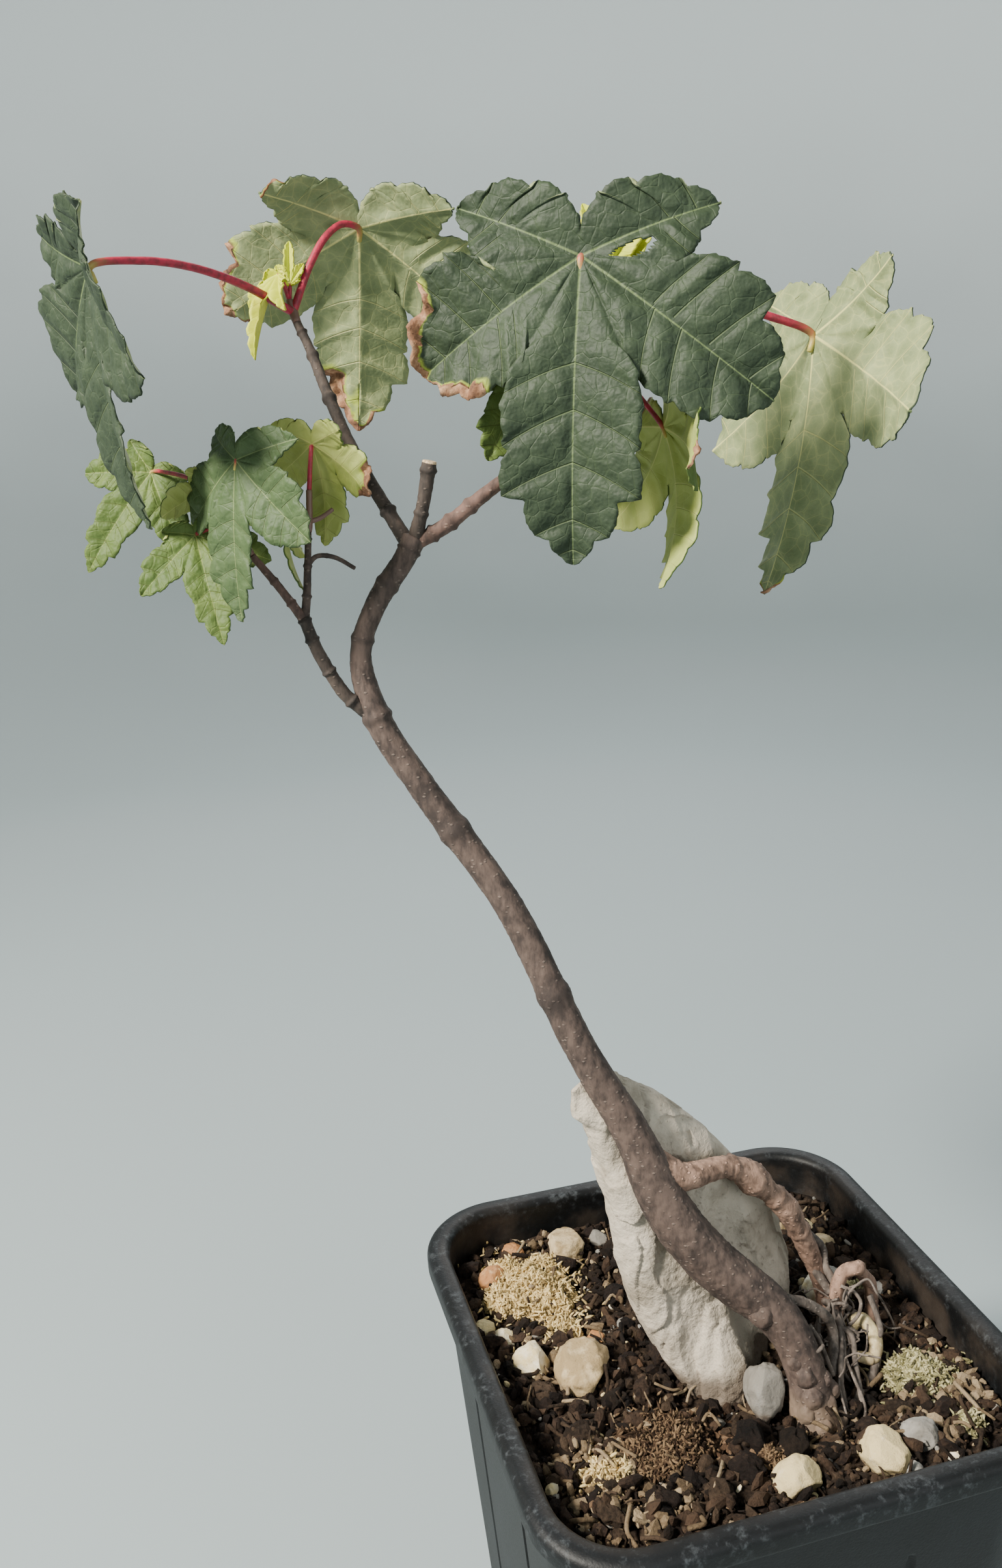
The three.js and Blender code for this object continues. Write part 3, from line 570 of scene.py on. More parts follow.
@dataclass(frozen=True)
class Blade(Finish):
    """One side of a leaf: its flesh, with pale mottling and painted sheen, veins, net of veinlets and
    scorched margin.
    """

    flesh: Colour = tint("24311f")
    # Pale grey-green of the patches: partly the leaf's own mottling, partly painted sheen
    mottle_and_sheen: Colour = tint("44523b")
    vein: Colour = tint("6f8050")
    scorch: Colour = tint("8a5d3a")
    char: Colour = tint("3f2819")
    pale_rim: Colour = tint("8d9a3a")
    mottle_and_sheen_share: float = 0.45
    vein_share: float = 0.58
    net_share: float = 0.05
    roughness: float = 0.58
    relief: float = 0.75

    def build(self, bench: Bench) -> Material:
        """Veins are thin bands of the distances from them; scorch follows the burn value."""
        cloud, fleck = bench.grain(11, 4, 0.6), bench.grain(0.9, 3, 0.6)
        puff, cell = bench.grain(2.3, 2), bench.cells(3.2)
        net = 1 - bench.cells(3.2, "DISTANCE_TO_EDGE").band(0, 0.055)
        mesh = 1 - bench.cells(1.1, "DISTANCE_TO_EDGE").band(0, 0.09)
        main = 1 - bench.value("main").band(0.1, 0.36)
        side = 1 - bench.value("side").band(0.03, 0.2)
        # Painted sheen, partly the leaf's own mottling: pale patches by broad noise, the cells and fine
        # flecks
        mottle_and_sheen_mask = (cloud * 0.8 + cell * 0.35 + fleck * 0.15).band(0.42, 1)
        colour = bench.mixed(mottle_and_sheen_mask * self.mottle_and_sheen_share, self.flesh, self.mottle_and_sheen)
        colour = bench.mixed((net * 0.7 + mesh * 0.3) * self.net_share, colour, self.vein)
        colour = bench.mixed(side * self.vein_share * 0.6, colour, self.vein)
        colour = bench.mixed(main * self.vein_share, colour, self.vein)
        burn = bench.value("burn")
        burnt = (burn * 8).band(0, 1)
        ragged = burn + (cloud - 0.5) * 0.35 + (fleck - 0.5) * 0.15
        colour = bench.mixed(ragged.band(0.1, 0.4) * burnt, colour, self.pale_rim)
        dry = bench.mixed((cloud + fleck * 0.4).band(0.55, 0.85), self.scorch, self.char)
        colour = bench.mixed(ragged.band(0.36, 0.6) * burnt, colour, dry)
        rough = self.roughness + 0.1 * fleck + 0.25 * burn
        height = puff * 0.7 + (1 - cell) * 0.2 + fleck * 0.12 - net * 0.06 - side * 0.3
        return bench.finished(colour, rough, height, self.relief, shine=0.35)


@dataclass(frozen=True)
class DryBlade(Finish):
    """The dead part of a leaf: tan to brown, crumpled, charred in spots."""

    tan: Colour = tint("b08b6a")
    brown: Colour = tint("7c553b")
    char: Colour = tint("432c20")

    def build(self, bench: Bench) -> Material:
        """Three browns by two noises, which also crumple the surface."""
        blend = bench.grain(4, 4, 0.6) * 0.7 + bench.grain(0.8, 4, 0.6) * 0.3
        colour = bench.ramp(blend, [(0.32, self.char), (0.46, self.brown), (0.62, self.tan)])
        return bench.finished(colour, 0.85, blend, 0.6)


@dataclass(frozen=True)
class Stalk(Finish):
    """Crimson leaf stalks that turn yellow-green just before the blade, and brown at the shoot."""

    red: Colour = tint("b02440")
    dark: Colour = tint("7a2030")
    green: Colour = tint("a8a04c")
    wood: Colour = tint("6b4f45")

    def build(self, bench: Bench) -> Material:
        """Red turns green near the end of the ripe value and brown by the wood value."""
        fine = bench.grain(1.2, 3)
        colour = bench.mixed(fine.band(0.3, 0.7), self.red, self.dark)
        colour = bench.mixed((bench.value("ripe") + fine * 0.1).band(0.86, 1.08), colour, self.green)
        colour = bench.mixed(bench.value("wood"), colour, self.wood)
        return bench.finished(colour, 0.45 + 0.1 * fine, fine, 0.08)


@dataclass(frozen=True)
class Cushion(Finish):
    """Dry moss: yellow-grey tips over brown."""

    tip: Colour = tint("ead096")
    middle: Colour = tint("c3a974")
    base: Colour = tint("75623f")

    def build(self, bench: Bench) -> Material:
        """Tips and base by the tone value and fine noise."""
        fine = bench.grain(0.8, 5, 0.7)
        blend = fine * 0.5 + bench.grain(6, 3) * 0.5 + bench.value("tone") * 0.4 - 0.15
        colour = bench.ramp(blend, [(0.3, self.base), (0.48, self.middle), (0.68, self.tip)])
        return bench.finished(colour, 1, fine, 0.6, shine=0.1)


@dataclass(frozen=True)
class Paper(Finish):
    """The studio's pale floor, painted paler up its swept wall as painted light."""

    shade: Colour = tint("97a2a5")
    # Painted light: the near-white that the bowl's wall turns to higher up
    upper: Colour = tint("f0f7f9")

    def build(self, bench: Bench) -> Material:
        """Painted light: paler with height, with a trace of broad noise."""
        parts = bench.node("ShaderNodeSeparateXYZ", {}, {"Vector": bench.here()})
        lift = Wire(bench, parts.outputs["Z"]) + bench.grain(400, 2) * 0.2
        colour = bench.mixed(lift.band(0.05, 0.95), self.shade, self.upper)
        return bench.finished(colour, 0.9)


PLASTIC = MouldedPlastic("black_moulded_plastic")
EARTH = Earth("potting_mix")
EARTH_DARK = Earth("bark_crumbs", *tints("0b0807 1f1713 46362a"))
EARTH_RUST = Earth("rusty_crumbs", *tints("33251b 543f2f 7a614a"))
EARTH_PALE = Earth("pale_crumbs", *tints("453829 6f5d47 9a876c"))
SLATE = Mineral("pale_slate", *tints("bdb1a0 948979 6b6054"), 9, 0.9)
BARK = Bark("maple_bark")
DARK_BARK = Bark("dark_bark", *tints("4b3f37 231c18 6f6156"), 0.3)
ROOT_BARK = Bark("gnarled_root", *tints("9b7c6a 4f3c31 cfa893"), 0.5)
WIRY_BARK = Bark("wiry_root", *tints("776b62 372f2a 958a80"), 0.2)
YOUNG_BARK = Bark("young_bark", *tints("6c5248 3b2c26 8f786a"), 0.15)
PALE_ROOT = Bark("pale_root_bark", *tints("cdbd93 96835b ddd0b0"), 0.12)
CUT = CutWood("cut_wood")
MOSS = Cushion("dry_moss")
GREY_MOSS = Cushion("grey_moss", *tints("c2b98f 89835b 464230"))
RUST_MOSS = Cushion("rusty_moss", *tints("7f684f 4a392c 1f1712"))
STALK = Stalk("leaf_stalk")
DRY = DryBlade("dry_leaf")
MATURE_UPPER = Blade("leaf_upper")
MATURE_UNDER = Blade(
    "leaf_under", *tints("6f7b54 9ca475 c0bd79"),
    mottle_and_sheen_share=0.7, vein_share=0.9, net_share=0.25, roughness=0.62, relief=0.45,
)
YOUNG_UPPER = Blade("young_leaf_upper", *tints("455a24 667737 8c9450"), mottle_and_sheen_share=0.6)
YOUNG_UNDER = Blade(
    "young_leaf_under", *tints("8b9648 a9ae6b c0bc76"), mottle_and_sheen_share=0.6, roughness=0.6, relief=0.3
)
BUD_UPPER = Blade("bud_leaf_upper", *tints("b3bd22 d1cf52 dcd76f"), mottle_and_sheen_share=0.6, relief=0.15)
BUD_UNDER = Blade("bud_leaf_under", *tints("bfc23c d9d56a e2dc88"), mottle_and_sheen_share=0.6, relief=0.15)
GROWING_UPPER = Blade("growing_leaf_upper", *tints("3a4d2b 5a6c46 87925f"))
# Pairs of upper side and underside; the last pair is burnt
BLADES = (
    *(MATURE_UPPER, MATURE_UNDER, YOUNG_UPPER, YOUNG_UNDER, BUD_UPPER, BUD_UNDER),
    *(GROWING_UPPER, YOUNG_UNDER, DRY, DRY),
)


class Pebble(Enum):
    """The kinds of stone on the soil."""

    WHITE = Mineral("white_pebble", *tints("e4dac3 cdb98a 8d7c5e"), 3)
    TAN = Mineral("tan_pebble", *tints("c3ae8a 96805c 58462f"), 3.5)
    ORANGE = Mineral("orange_pebble", *tints("c7a57c a26f43 6d4a30"), 3)
    GREY = Mineral("grey_pebble", *tints("93908a 78736b 55504a"))


WHITE, TAN, ORANGE, GREY = Pebble


# Limbs


@dataclass(frozen=True)
class Tube:
    """A limb, root or stalk: a round section carried along a spline through its bends.

    A bend is x, y, z and radius. The radius runs straight from bend to bend, under the bark's relief.
    """

    bends: tuple[Bend, ...]
    columns: int = 32
    step: float = 0.6
    relief: float = 0.06
    rings: tuple[float, ...] = ()
    swelling: float = 0.16
    ring_half: float = 0.06
    seed: int = 1
    end_round: float = 0.6

    def surface(self, ripe: bool = False) -> Surface:
        """The closed tube: centre + radius (cos a side + sin a other), its ends drawn in to points.

        Args:
            ripe: Whether to add the share of the length as the value "ripe".

        Returns:
            The surface with the value "ring", 1 on each ring's hump.
        """
        table = np.array(self.bends, float)
        knots = np.arange(len(table))
        chords = np.linalg.norm(np.diff(table[:, :3], axis=0), axis=1)
        rows = max(8, int(chords.sum() / self.step))
        along = np.interp(np.linspace(0, chords.sum(), rows), np.r_[0, np.cumsum(chords)], knots)
        centre = spline(table[:, :3], along)
        tangent = unit(np.gradient(centre, axis=0))
        axis = np.eye(3)[np.argmin(np.abs(table[-1, :3] - table[0, :3]))]
        side = unit(axis - (tangent @ axis)[:, None] * tangent)
        other = np.cross(tangent, side)
        radius = np.interp(along, knots, table[:, 3])
        humps = (np.exp(-(((along - r) / self.ring_half) ** 2)) for r in self.rings)
        ring = sum(humps, np.zeros(rows))
        c, s = circle(self.columns)
        out = c[:, None] * side[:, None] + s[:, None] * other[:, None]
        plain = centre[:, None] + radius[:, None, None] * out
        rough = noise(plain, 1.6 * float(radius.max()), self.seed, 3) + 0.5 * noise(plain, 0.5, self.seed + 5)
        grown = radius[:, None] * (1 + self.relief * rough + self.swelling * ring[:, None])

        def end(row: int, ways: Array, scales: Sequence[float]) -> Array:
            """The rings of one end: each way is a share of the radius, each scale one of the ring."""
            steps = tangent[row] * radius[row] * 0.5 * ways[:, None]
            rim = out[row] * grown[row, :, None]
            return centre[row] + steps[:, None] + rim * np.array(scales)[:, None, None]

        ends = self.end_round * np.array([0, 0.55, 0.85])
        first, last = end(0, ends - self.end_round, (0, 0.6, 0.9)), end(-1, ends + 0.15, (0.9, 0.6, 0))
        grid = np.concatenate([first, centre[:, None] + out * grown[..., None], last])
        spread = np.ones((1, self.columns))
        values = {"ring": np.pad(np.clip(ring, 0, 1), 3)[:, None] * spread}
        if ripe:
            values["ripe"] = np.pad(np.linspace(0, 1, rows), 3, mode="edge")[:, None] * spread
        return Surface.of_grid(grid, around=True, values=values).flipped().welded(1e-3)


def strand(
    path: Sequence[Array], radius: float, columns: int, step: float, relief: float, seed: int
) -> Surface:
    """A root of one radius along a path; the rest is the tube's."""
    return Tube(tuple((*spot, radius) for spot in path), columns, step, relief, seed=seed).surface()


@dataclass(frozen=True)
class LimbPlan:
    """A limb's bends, the bends at which old bud scars ring it, and its bark."""

    bends: tuple[Bend, ...]
    rings: tuple[float, ...] = ()
    finish: Finish = BARK
    slot: str = "bark"
    relief: float = 0.06
    swelling: float = 0.16


LIMBS: dict[str, LimbPlan] = {
    "trunk": LimbPlan(
        (
            (13, -22.5, 101, 6.2), (12.5, -20.5, 109, 5), (12, -18.5, 115.5, 4.2), (10, -15.2, 123, 4.2),
            (6, -12, 129, 4.6), (0.5, -9.5, 134, 5), (-5.5, -7, 140, 5.2), (-13, -4, 151, 4.9),
            (-19, 0, 167, 3.9), (-28, 5, 185, 3.2), (-40, 15, 215, 2.9), (-54, 24, 238, 2.75),
            (-61.5, 28, 252, 2.6), (-63.5, 30.5, 264, 2.1), (-60, 30.5, 273.5, 2.05), (-54, 30, 282, 2.15),
            (-52, 30.2, 285.5, 2.3),
        ),
        (9.4, 10.6, 12, 13.3, 14.4, 15.4), relief=0.07,
    ),
    "left_leader": LimbPlan(
        (
            (-53, 30.8, 284.5, 1.55), (-56.3, 34.7, 291.3, 1.3), (-60, 41.5, 300.3, 1.2),
            (-63.2, 50.6, 311.5, 1.15), (-65.5, 57.8, 321.5, 0.95), (-67, 61, 326, 0.85),
        ),
        (0.9, 1.96, 3, 3.8, 4.6), DARK_BARK, relief=0.08, swelling=0.34,
    ),
    "cut_stub": LimbPlan(
        ((-52, 30, 285, 1.5), (-50.6, 28.4, 291, 1.2), (-49, 27.6, 299.5, 1.4)),
        (0.9, 1.85), DARK_BARK, relief=0.1, swelling=0.24,
    ),
    "right_bough": LimbPlan(
        (
            (-52, 30.2, 284.5, 1.5), (-46.2, 27.6, 288, 1.45), (-37, 25, 295, 1.25), (-28, 25, 300, 1.15),
            (-19.5, 27.3, 308, 1.05), (-14.5, 29.6, 314, 0.95),
        ),
        (0.6, 1.1, 1.5, 2.2, 4.2), YOUNG_BARK, relief=0.08, swelling=0.26,
    ),
    "side_branch": LimbPlan(
        (
            (-62, 28.4, 252, 1.5), (-67, 28.8, 256.5, 1.3), (-70, 29.2, 261.5, 1.25),
            (-72.4, 29.4, 266.8, 1.2), (-74, 30, 272, 1.15),
        ),
        (0.8, 2, 3.2, 3.9), DARK_BARK, relief=0.08, swelling=0.26,
    ),
    "side_upright_twig": LimbPlan(
        (
            (-74, 30, 271, 0.9), (-73.1, 30.5, 276, 0.8), (-72.5, 31.8, 280, 0.72),
            (-71.8, 33.8, 284.5, 0.65), (-71.3, 35.4, 287.2, 0.62),
        ),
        (1, 2.3, 3.6), swelling=0.3,
    ),
    "side_left_twig": LimbPlan(
        (
            (-74, 30, 271.5, 0.95), (-76.2, 29.8, 275, 0.85), (-79, 30.2, 279.2, 0.75),
            (-82.6, 30.9, 284, 0.68),
        ),
        (1, 2), YOUNG_BARK, swelling=0.26,
    ),
    "bare_twig": LimbPlan(
        (
            (-72.3, 32.4, 281.5, 0.5), (-70.4, 33, 283, 0.48), (-67, 33.3, 282.6, 0.45),
            (-63.2, 33.2, 280.3, 0.4),
        ),
        (1.6,),
    ),
    "over_rock_root": LimbPlan(
        (
            (-16, -0.8, 161, 3.4), (-9.8, -2.6, 157.4, 3), (-4.4, -1.8, 156.8, 2.4),
            (0.2, -0.8, 156.2, 2.3), (4.3, 0, 154.6, 2.6), (8.3, 0.4, 151, 3.6), (12.1, 0.5, 147, 2.3),
            (16.1, 0.5, 142.4, 2.8),
            (19.4, 0.8, 136.5, 2.4), (23, 1.4, 128.8, 2.3), (27, 1.5, 118, 1.9), (28.5, 1, 102, 1.8),
        ),
        (3.6, 6.4, 8.2), ROOT_BARK, "root_bark", 0.14,
    ),
    "pale_root": LimbPlan(
        (
            (27.5, -6, 103, 1.3), (29.5, -6.2, 112, 1.4), (31.6, -7.2, 115.2, 1.5),
            (33.2, -10.5, 112.8, 1.55), (31, -13.5, 110.4, 1.4), (27.6, -13, 111.2, 1.1),
        ),
        (), PALE_ROOT, "root_bark", 0.08,
    ),
}


@dataclass
class Wood:
    """The trunk, boughs, twigs and thick roots, each one tube."""

    # The burr and the nodules of the front root: x, y, z and size
    knots: tuple[Four, ...] = (
        (3.4, -14, 129.4, 5.4), (1.4, -12.9, 131.4, 3.4), (5.8, -14.4, 127, 3.8), (8.4, -16.9, 122.4, 3.6),
        (10.4, -20.6, 117, 4.6), (14.6, -20.3, 115.1, 4.2), (11.2, -22.3, 113.2, 4.8),
        (14.4, -22.6, 111.2, 4), (9.8, -23.1, 110.2, 4), (9, -19, 119.7, 3.4), (16.4, -21, 112.6, 3.6),
        (12.3, -25, 107.6, 4.4), (16.5, -24.4, 107.4, 4),
    )
    soiled: tuple[float, float] = (106, 119)

    def build(self) -> None:
        """Makes each limb's piece, soiled below, and the stub's cut face."""
        for number, (name, plan) in enumerate(LIMBS.items()):
            thick = max(bend[3] for bend in plan.bends)
            tube = Tube(
                plan.bends, int(np.clip(14 * thick, 20, 72)), float(np.clip(0.16 * thick, 0.2, 0.5)),
                plan.relief, plan.rings, plan.swelling, seed=30 + number,
            )
            whole = Surface.joined([tube.surface(), *(self.burrs() if name == "trunk" else [])])
            whole.values["crust"] = 1 - smooth(whole.points[:, 2], *self.soiled)
            place(whole.object(name + "_wood", [plan.finish]), plan.slot, name)
        self.cut_face()

    def burrs(self) -> list[Surface]:
        """The front root's burr and nodules: lumps half sunk in it."""
        return [
            lump(np.array([x, y, z]), np.array([1, 1, 1.15]) * size, 0.16, 77 + number, rows=24)
            for number, (x, y, z, size) in enumerate(self.knots)
        ]

    def cut_face(self) -> None:
        """The stub's pale cut end: a low disc over the tube's last ring."""
        before, end = (np.array(bend) for bend in LIMBS["cut_stub"].bends[-2:])
        axis = unit(end[:3] - before[:3])
        side = unit(np.cross(axis, [0, 1, 0]))
        c, s = circle(36)
        ring = c[:, None] * side + s[:, None] * np.cross(axis, side)
        shares = np.array([0, 0.4, 0.8, 0.97, 1])[:, None, None]
        rise = np.array([0.55, 0.6, 0.62, 0.5, 0])[:, None, None]
        grid = end[:3] + ring[None] * shares * end[3] * 0.98 + axis * rise * 0.75
        place(Surface.of_grid(grid, around=True).welded(1e-3).object("stub_cut_face", [CUT]), "bark")


# Lumps: stones, crumbs, moss


def faceted(
    points: Array, half: Array, count: int, depth: float, seed: int, bias: Array | float = 1
) -> Array:
    """Cuts flat facets: what lies beyond a random plane is moved back onto it.

    Args:
        points: Places about the body's middle, shape (..., 3).
        half: The body's half sizes.
        count: How many planes.
        depth: The deepest cut as a share of the half sizes.
        seed: Picks the planes.
        bias: Weights of the axes in the planes' directions.

    Returns:
        The cut places.
    """
    rng = np.random.default_rng(seed)
    normals = unit(rng.normal(size=(count, 3)) * bias)
    local = points / half
    for normal, share in zip(normals, rng.uniform(0.25, 1, count)):
        reach = local @ normal
        over = np.maximum(reach - (reach.max() - depth * share), 0)
        local = local - over[..., None] * normal
    return local * half


def lump(
    centre: Array, size: Array, rough: float, seed: int, rows: int = 20, turn: float = 0, facets: int = 0
) -> Surface:
    """A rounded body: centre + size/2 * direction * (1 + rough * noise), turned about Z.

    Args:
        centre: Its middle.
        size: Its width, depth and height.
        rough: How uneven it is.
        seed: Picks the unevenness.
        rows: Rows of the grid; there are twice as many columns.
        turn: Degrees about Z.
        facets: How many flat facets are cut.

    Returns:
        The closed surface.
    """
    polar = np.linspace(0, math.pi, rows)[:, None]
    c, s = circle(2 * rows)
    way = np.stack([np.sin(polar) * c, np.sin(polar) * s, np.cos(polar) + 0 * c], axis=-1)
    uneven = 1 + rough * (noise(way * 1.5, 1, seed, 2) + 0.35 * noise(way * 5, 1, seed + 3, 2))
    uneven[0], uneven[-1] = uneven[0].mean(), uneven[-1].mean()
    local = way * uneven[..., None] * size / 2
    if facets:
        local = faceted(local, size / 2, facets, 0.3, seed + 9)
        local = local + way * 0.012 * size.mean() * noise(way * 6, 1, seed + 4, 2)[..., None]
    c, s = math.cos(math.radians(turn)), math.sin(math.radians(turn))
    spun = local @ np.array([[c, s, 0], [-s, c, 0], [0, 0, 1]])
    return Surface.of_grid(centre + spun, around=True).welded(1e-4)


@dataclass(frozen=True)
class Crumb:
    """A small grain that is repeated: an octahedron cut once into 32 faces."""

    dent: float = 0.22

    def pattern(self) -> tuple[Array, Array]:
        """Its 18 unit points, and 32 triangles as quads with a repeated corner."""
        points = [sign * row for row in np.eye(3) for sign in (1, -1)]
        faces = [(0, 2, 4), (2, 1, 4), (1, 3, 4), (3, 0, 4), (2, 0, 5), (1, 2, 5), (3, 1, 5), (0, 3, 5)]
        middles: dict[tuple[int, int], int] = {}
        quads = []
        for a, b, c in faces:
            for low, high in (sorted(pair) for pair in ((a, b), (b, c), (c, a))):
                if (low, high) not in middles:
                    middles[low, high] = len(points)
                    points.append(unit(points[low] + points[high]))
            ab, bc, ca = (middles[min(pair), max(pair)] for pair in ((a, b), (b, c), (c, a)))
            quads += [(a, ab, ca, ca), (b, bc, ab, ab), (c, ca, bc, bc), (ab, bc, ca, ca)]
        return np.array(points), np.array(quads)

    def scattered(self, centres: Array, sizes: Array, seed: int) -> Surface:
        """Grains scaled, dented and turned each its own way.

        Args:
            centres: Where they lie, shape (n, 3).
            sizes: Their width, depth and height, shape (n, 3).
            seed: Picks dents, turns and tones.

        Returns:
            The joined surface with the value "tone".
        """
        points, quads = self.pattern()
        rng = np.random.default_rng(seed)
        count = len(centres)
        dents = 1 + self.dent * rng.uniform(-1, 1, (count, len(points), 1))
        shaped = points[None] * dents * sizes[:, None] / 2
        axes = unit(rng.normal(size=(count, 3)))
        first = unit(np.cross(axes, rng.normal(size=(count, 3))))
        frames = np.stack([first, np.cross(axes, first), axes], axis=1)
        placed = np.einsum("npi,nij->npj", shaped, frames) + centres[:, None]
        numbers = quads[None] + (np.arange(count) * len(points))[:, None, None]
        tone = np.repeat(rng.uniform(0, 1, count), len(points))
        return Surface(placed.reshape(-1, 3), numbers.reshape(-1, 4), {"tone": tone})


# Pot and what fills it


@dataclass
class Pot:
    """A square nursery pot with rounded corners, a rolled lip and pressed slits in its walls."""

    height: float = 120
    lip_half: float = 55
    lip_height: float = 5.5
    lip_corner: float = 19
    wall_top: float = 51.4
    wall_foot: float = 41.5
    wall: float = 1.5
    floor: float = 2
    corner_share: float = 0.29
    slit_at: float = 17.5
    slit_width: float = 2.2
    slit_depth: float = 0.75
    slit_foot: float = 14
    slit_top: float = 99
    drain_radius: float = 2.8
    drain_reach: float = 24
    steady: float = 25
    corner_steps: int = 16
    lip_wobble: float = 0.12
    past_walls: float = 99

    def wall_half(self, z: Array | float) -> Array | float:
        """Half the outer width at a height: the foot's plus a share of the taper."""
        return self.wall_foot + (self.wall_top - self.wall_foot) * z / (self.height - self.lip_height)

    def columns(self) -> tuple[Array, Array]:
        """How one wall's columns are spread: close by the slits, even elsewhere.

        Returns:
            Places from the wall's middle, and for each the share of the way from the steady part's
            end to the corner, from -1 to 1.
        """
        edge = self.slit_width / 2
        one = np.array([edge - 0.25, edge, edge + 0.15, 1.5, 2.2])
        near = np.r_[-one[::-1], 0, one]
        inner = np.r_[np.linspace(-self.steady, -20.2, 3), -self.slit_at + near, np.linspace(-14, 14, 13)]
        steady = np.r_[inner, self.slit_at + near, np.linspace(20.2, self.steady, 3)]
        shares = np.linspace(0, 1, 5)[1:]
        places = np.pad(steady, 4, constant_values=(-self.steady, self.steady))
        return places, np.r_[-shares[::-1], 0 * steady, shares]

    def ring(self, half: Array, corner: Array) -> tuple[Array, Array]:
        """Rings of the rounded square.

        Args:
            half: Each row's half width.
            corner: Each row's corner radius.

        Returns:
            Places (rows, columns, 2) and their distances along each wall from its middle.
        """
        steady, share = self.columns()
        straight = (half - corner)[:, None]
        along = np.clip(steady + share * np.maximum(straight - self.steady, 0), -straight, straight)
        turn = np.linspace(0, math.pi / 2, self.corner_steps + 2)[1:-1]
        parts, marks = [], []
        for wall in range(4):
            c, s = math.cos(wall * math.pi / 2), math.sin(wall * math.pi / 2)
            flat = np.stack([along, -half[:, None] + 0 * along], axis=-1)
            out, down = corner[:, None] * np.sin(turn), corner[:, None] * np.cos(turn)
            arc = np.stack([straight + out, -straight - down], axis=-1)
            parts.append(np.concatenate([flat, arc], axis=1) @ np.array([[c, s], [-s, c]]))
            marks.append(np.concatenate([along, np.full(arc.shape[:2], self.past_walls)], axis=1))
        return np.concatenate(parts, axis=1), np.concatenate(marks, axis=1)

    def profile(self) -> Array:
        """The wall's section: from the underside up outside, over the lip and down inside.

        Returns:
            Rows of half width, corner radius, height, and the inside and rim flags.
        """
        top, lip = self.height, self.height - self.lip_height
        rows: list[tuple[float, ...]] = []

        def add(half: float, z: float, inside: float, rim: float, corner: float | None = None) -> None:
            """Adds one row."""
            rows.append((half, half * self.corner_share if corner is None else corner, z, inside, rim))

        def arc(half: float, z: float, radius: float, start: float, steps: int, *rest: float | None) -> None:
            """Adds a quarter circle about half and z from a start in degrees; 0 is out, 90 is up."""
            for turn in np.radians(np.linspace(start, start + 90, steps)):
                add(half + radius * math.cos(turn), z + radius * math.sin(turn), *rest)

        foot, corner = self.wall_foot, self.lip_corner
        arc(foot - 1.2, 1.2, 1.2, -90, 5, 0, 0)
        near_foot = self.slit_foot + np.array([-0.4, 0, 0.4])
        near_top = self.slit_top + np.array([-2.2, -1.4, -0.7, 0, 0.4])
        heights = [*np.linspace(3, 12, 4), *near_foot, *np.linspace(18, 94, 26), *near_top, 103, 108, 112]
        for z in [*heights, lip - 0.6]:
            add(float(self.wall_half(z)), z, 0, 0)
        join = float(self.wall_half(lip))
        add(join + 0.35, lip - 0.12, 0, 0.2)
        add(join + 1, lip, 0, 0.4, corner - 2.5)
        arc(self.lip_half - 1.1, lip + 1.1, 1.1, -90, 6, 0, 0.7, corner)
        arc(self.lip_half - 1.9, top - 1.9, 1.9, 0, 8, 0, 1, corner - 0.6)
        inner = join - self.wall
        arc(inner + 1.6, top - 1.6, 1.6, 90, 7, 0.3, 0.9)
        for z in np.linspace(top - 3.5, 96, 12):
            add(min(inner, float(self.wall_half(z)) - self.wall), z, 1, 0.25)
        for z in np.linspace(90, self.floor + 0.5, 14):
            add(float(self.wall_half(z)) - self.wall, z, 1, 0)
        add(foot - self.wall - 0.4, self.floor, 1, 0)
        add(foot - self.wall - 0.4, 0.35, 1, 0)
        add(foot - self.wall - 0.1, 0, 0, 0)
        return np.array(rows)

    def shell(self) -> Surface:
        """The section carried round the rounded square, with the slits pressed in.

        Returns:
            The closed surface with the values "rim" and "inside".
        """
        half, corner, z, inside, rim = self.profile().T
        places, along = self.ring(half, corner)
        heights = np.broadcast_to(z[:, None], along.shape)
        off = np.abs(np.abs(along) - self.slit_at)
        reach = np.minimum(self.slit_width / 2, np.maximum(self.slit_top - heights, 0) * 0.5)
        within = (heights > self.slit_foot - 0.1) * (heights < self.slit_top) * (inside < 0.1)[:, None]
        pressed = smooth(reach - off, -0.02, 0.25) * within
        scale = 1 - pressed * self.slit_depth / np.maximum(np.abs(places).max(axis=-1), 1)
        grid = np.dstack([places * scale[..., None], heights])
        grid[..., 2] += self.lip_wobble * noise(grid, 22, 5) * (rim > 0.05)[:, None]
        spread = np.ones_like(along[:1])
        values = {k: np.r_[v, v[:1]][:, None] * spread for k, v in (("rim", rim), ("inside", inside))}
        closed = np.concatenate([grid, grid[:1]])
        return Surface.of_grid(closed, around=True, values=values).flipped().welded(1e-3)

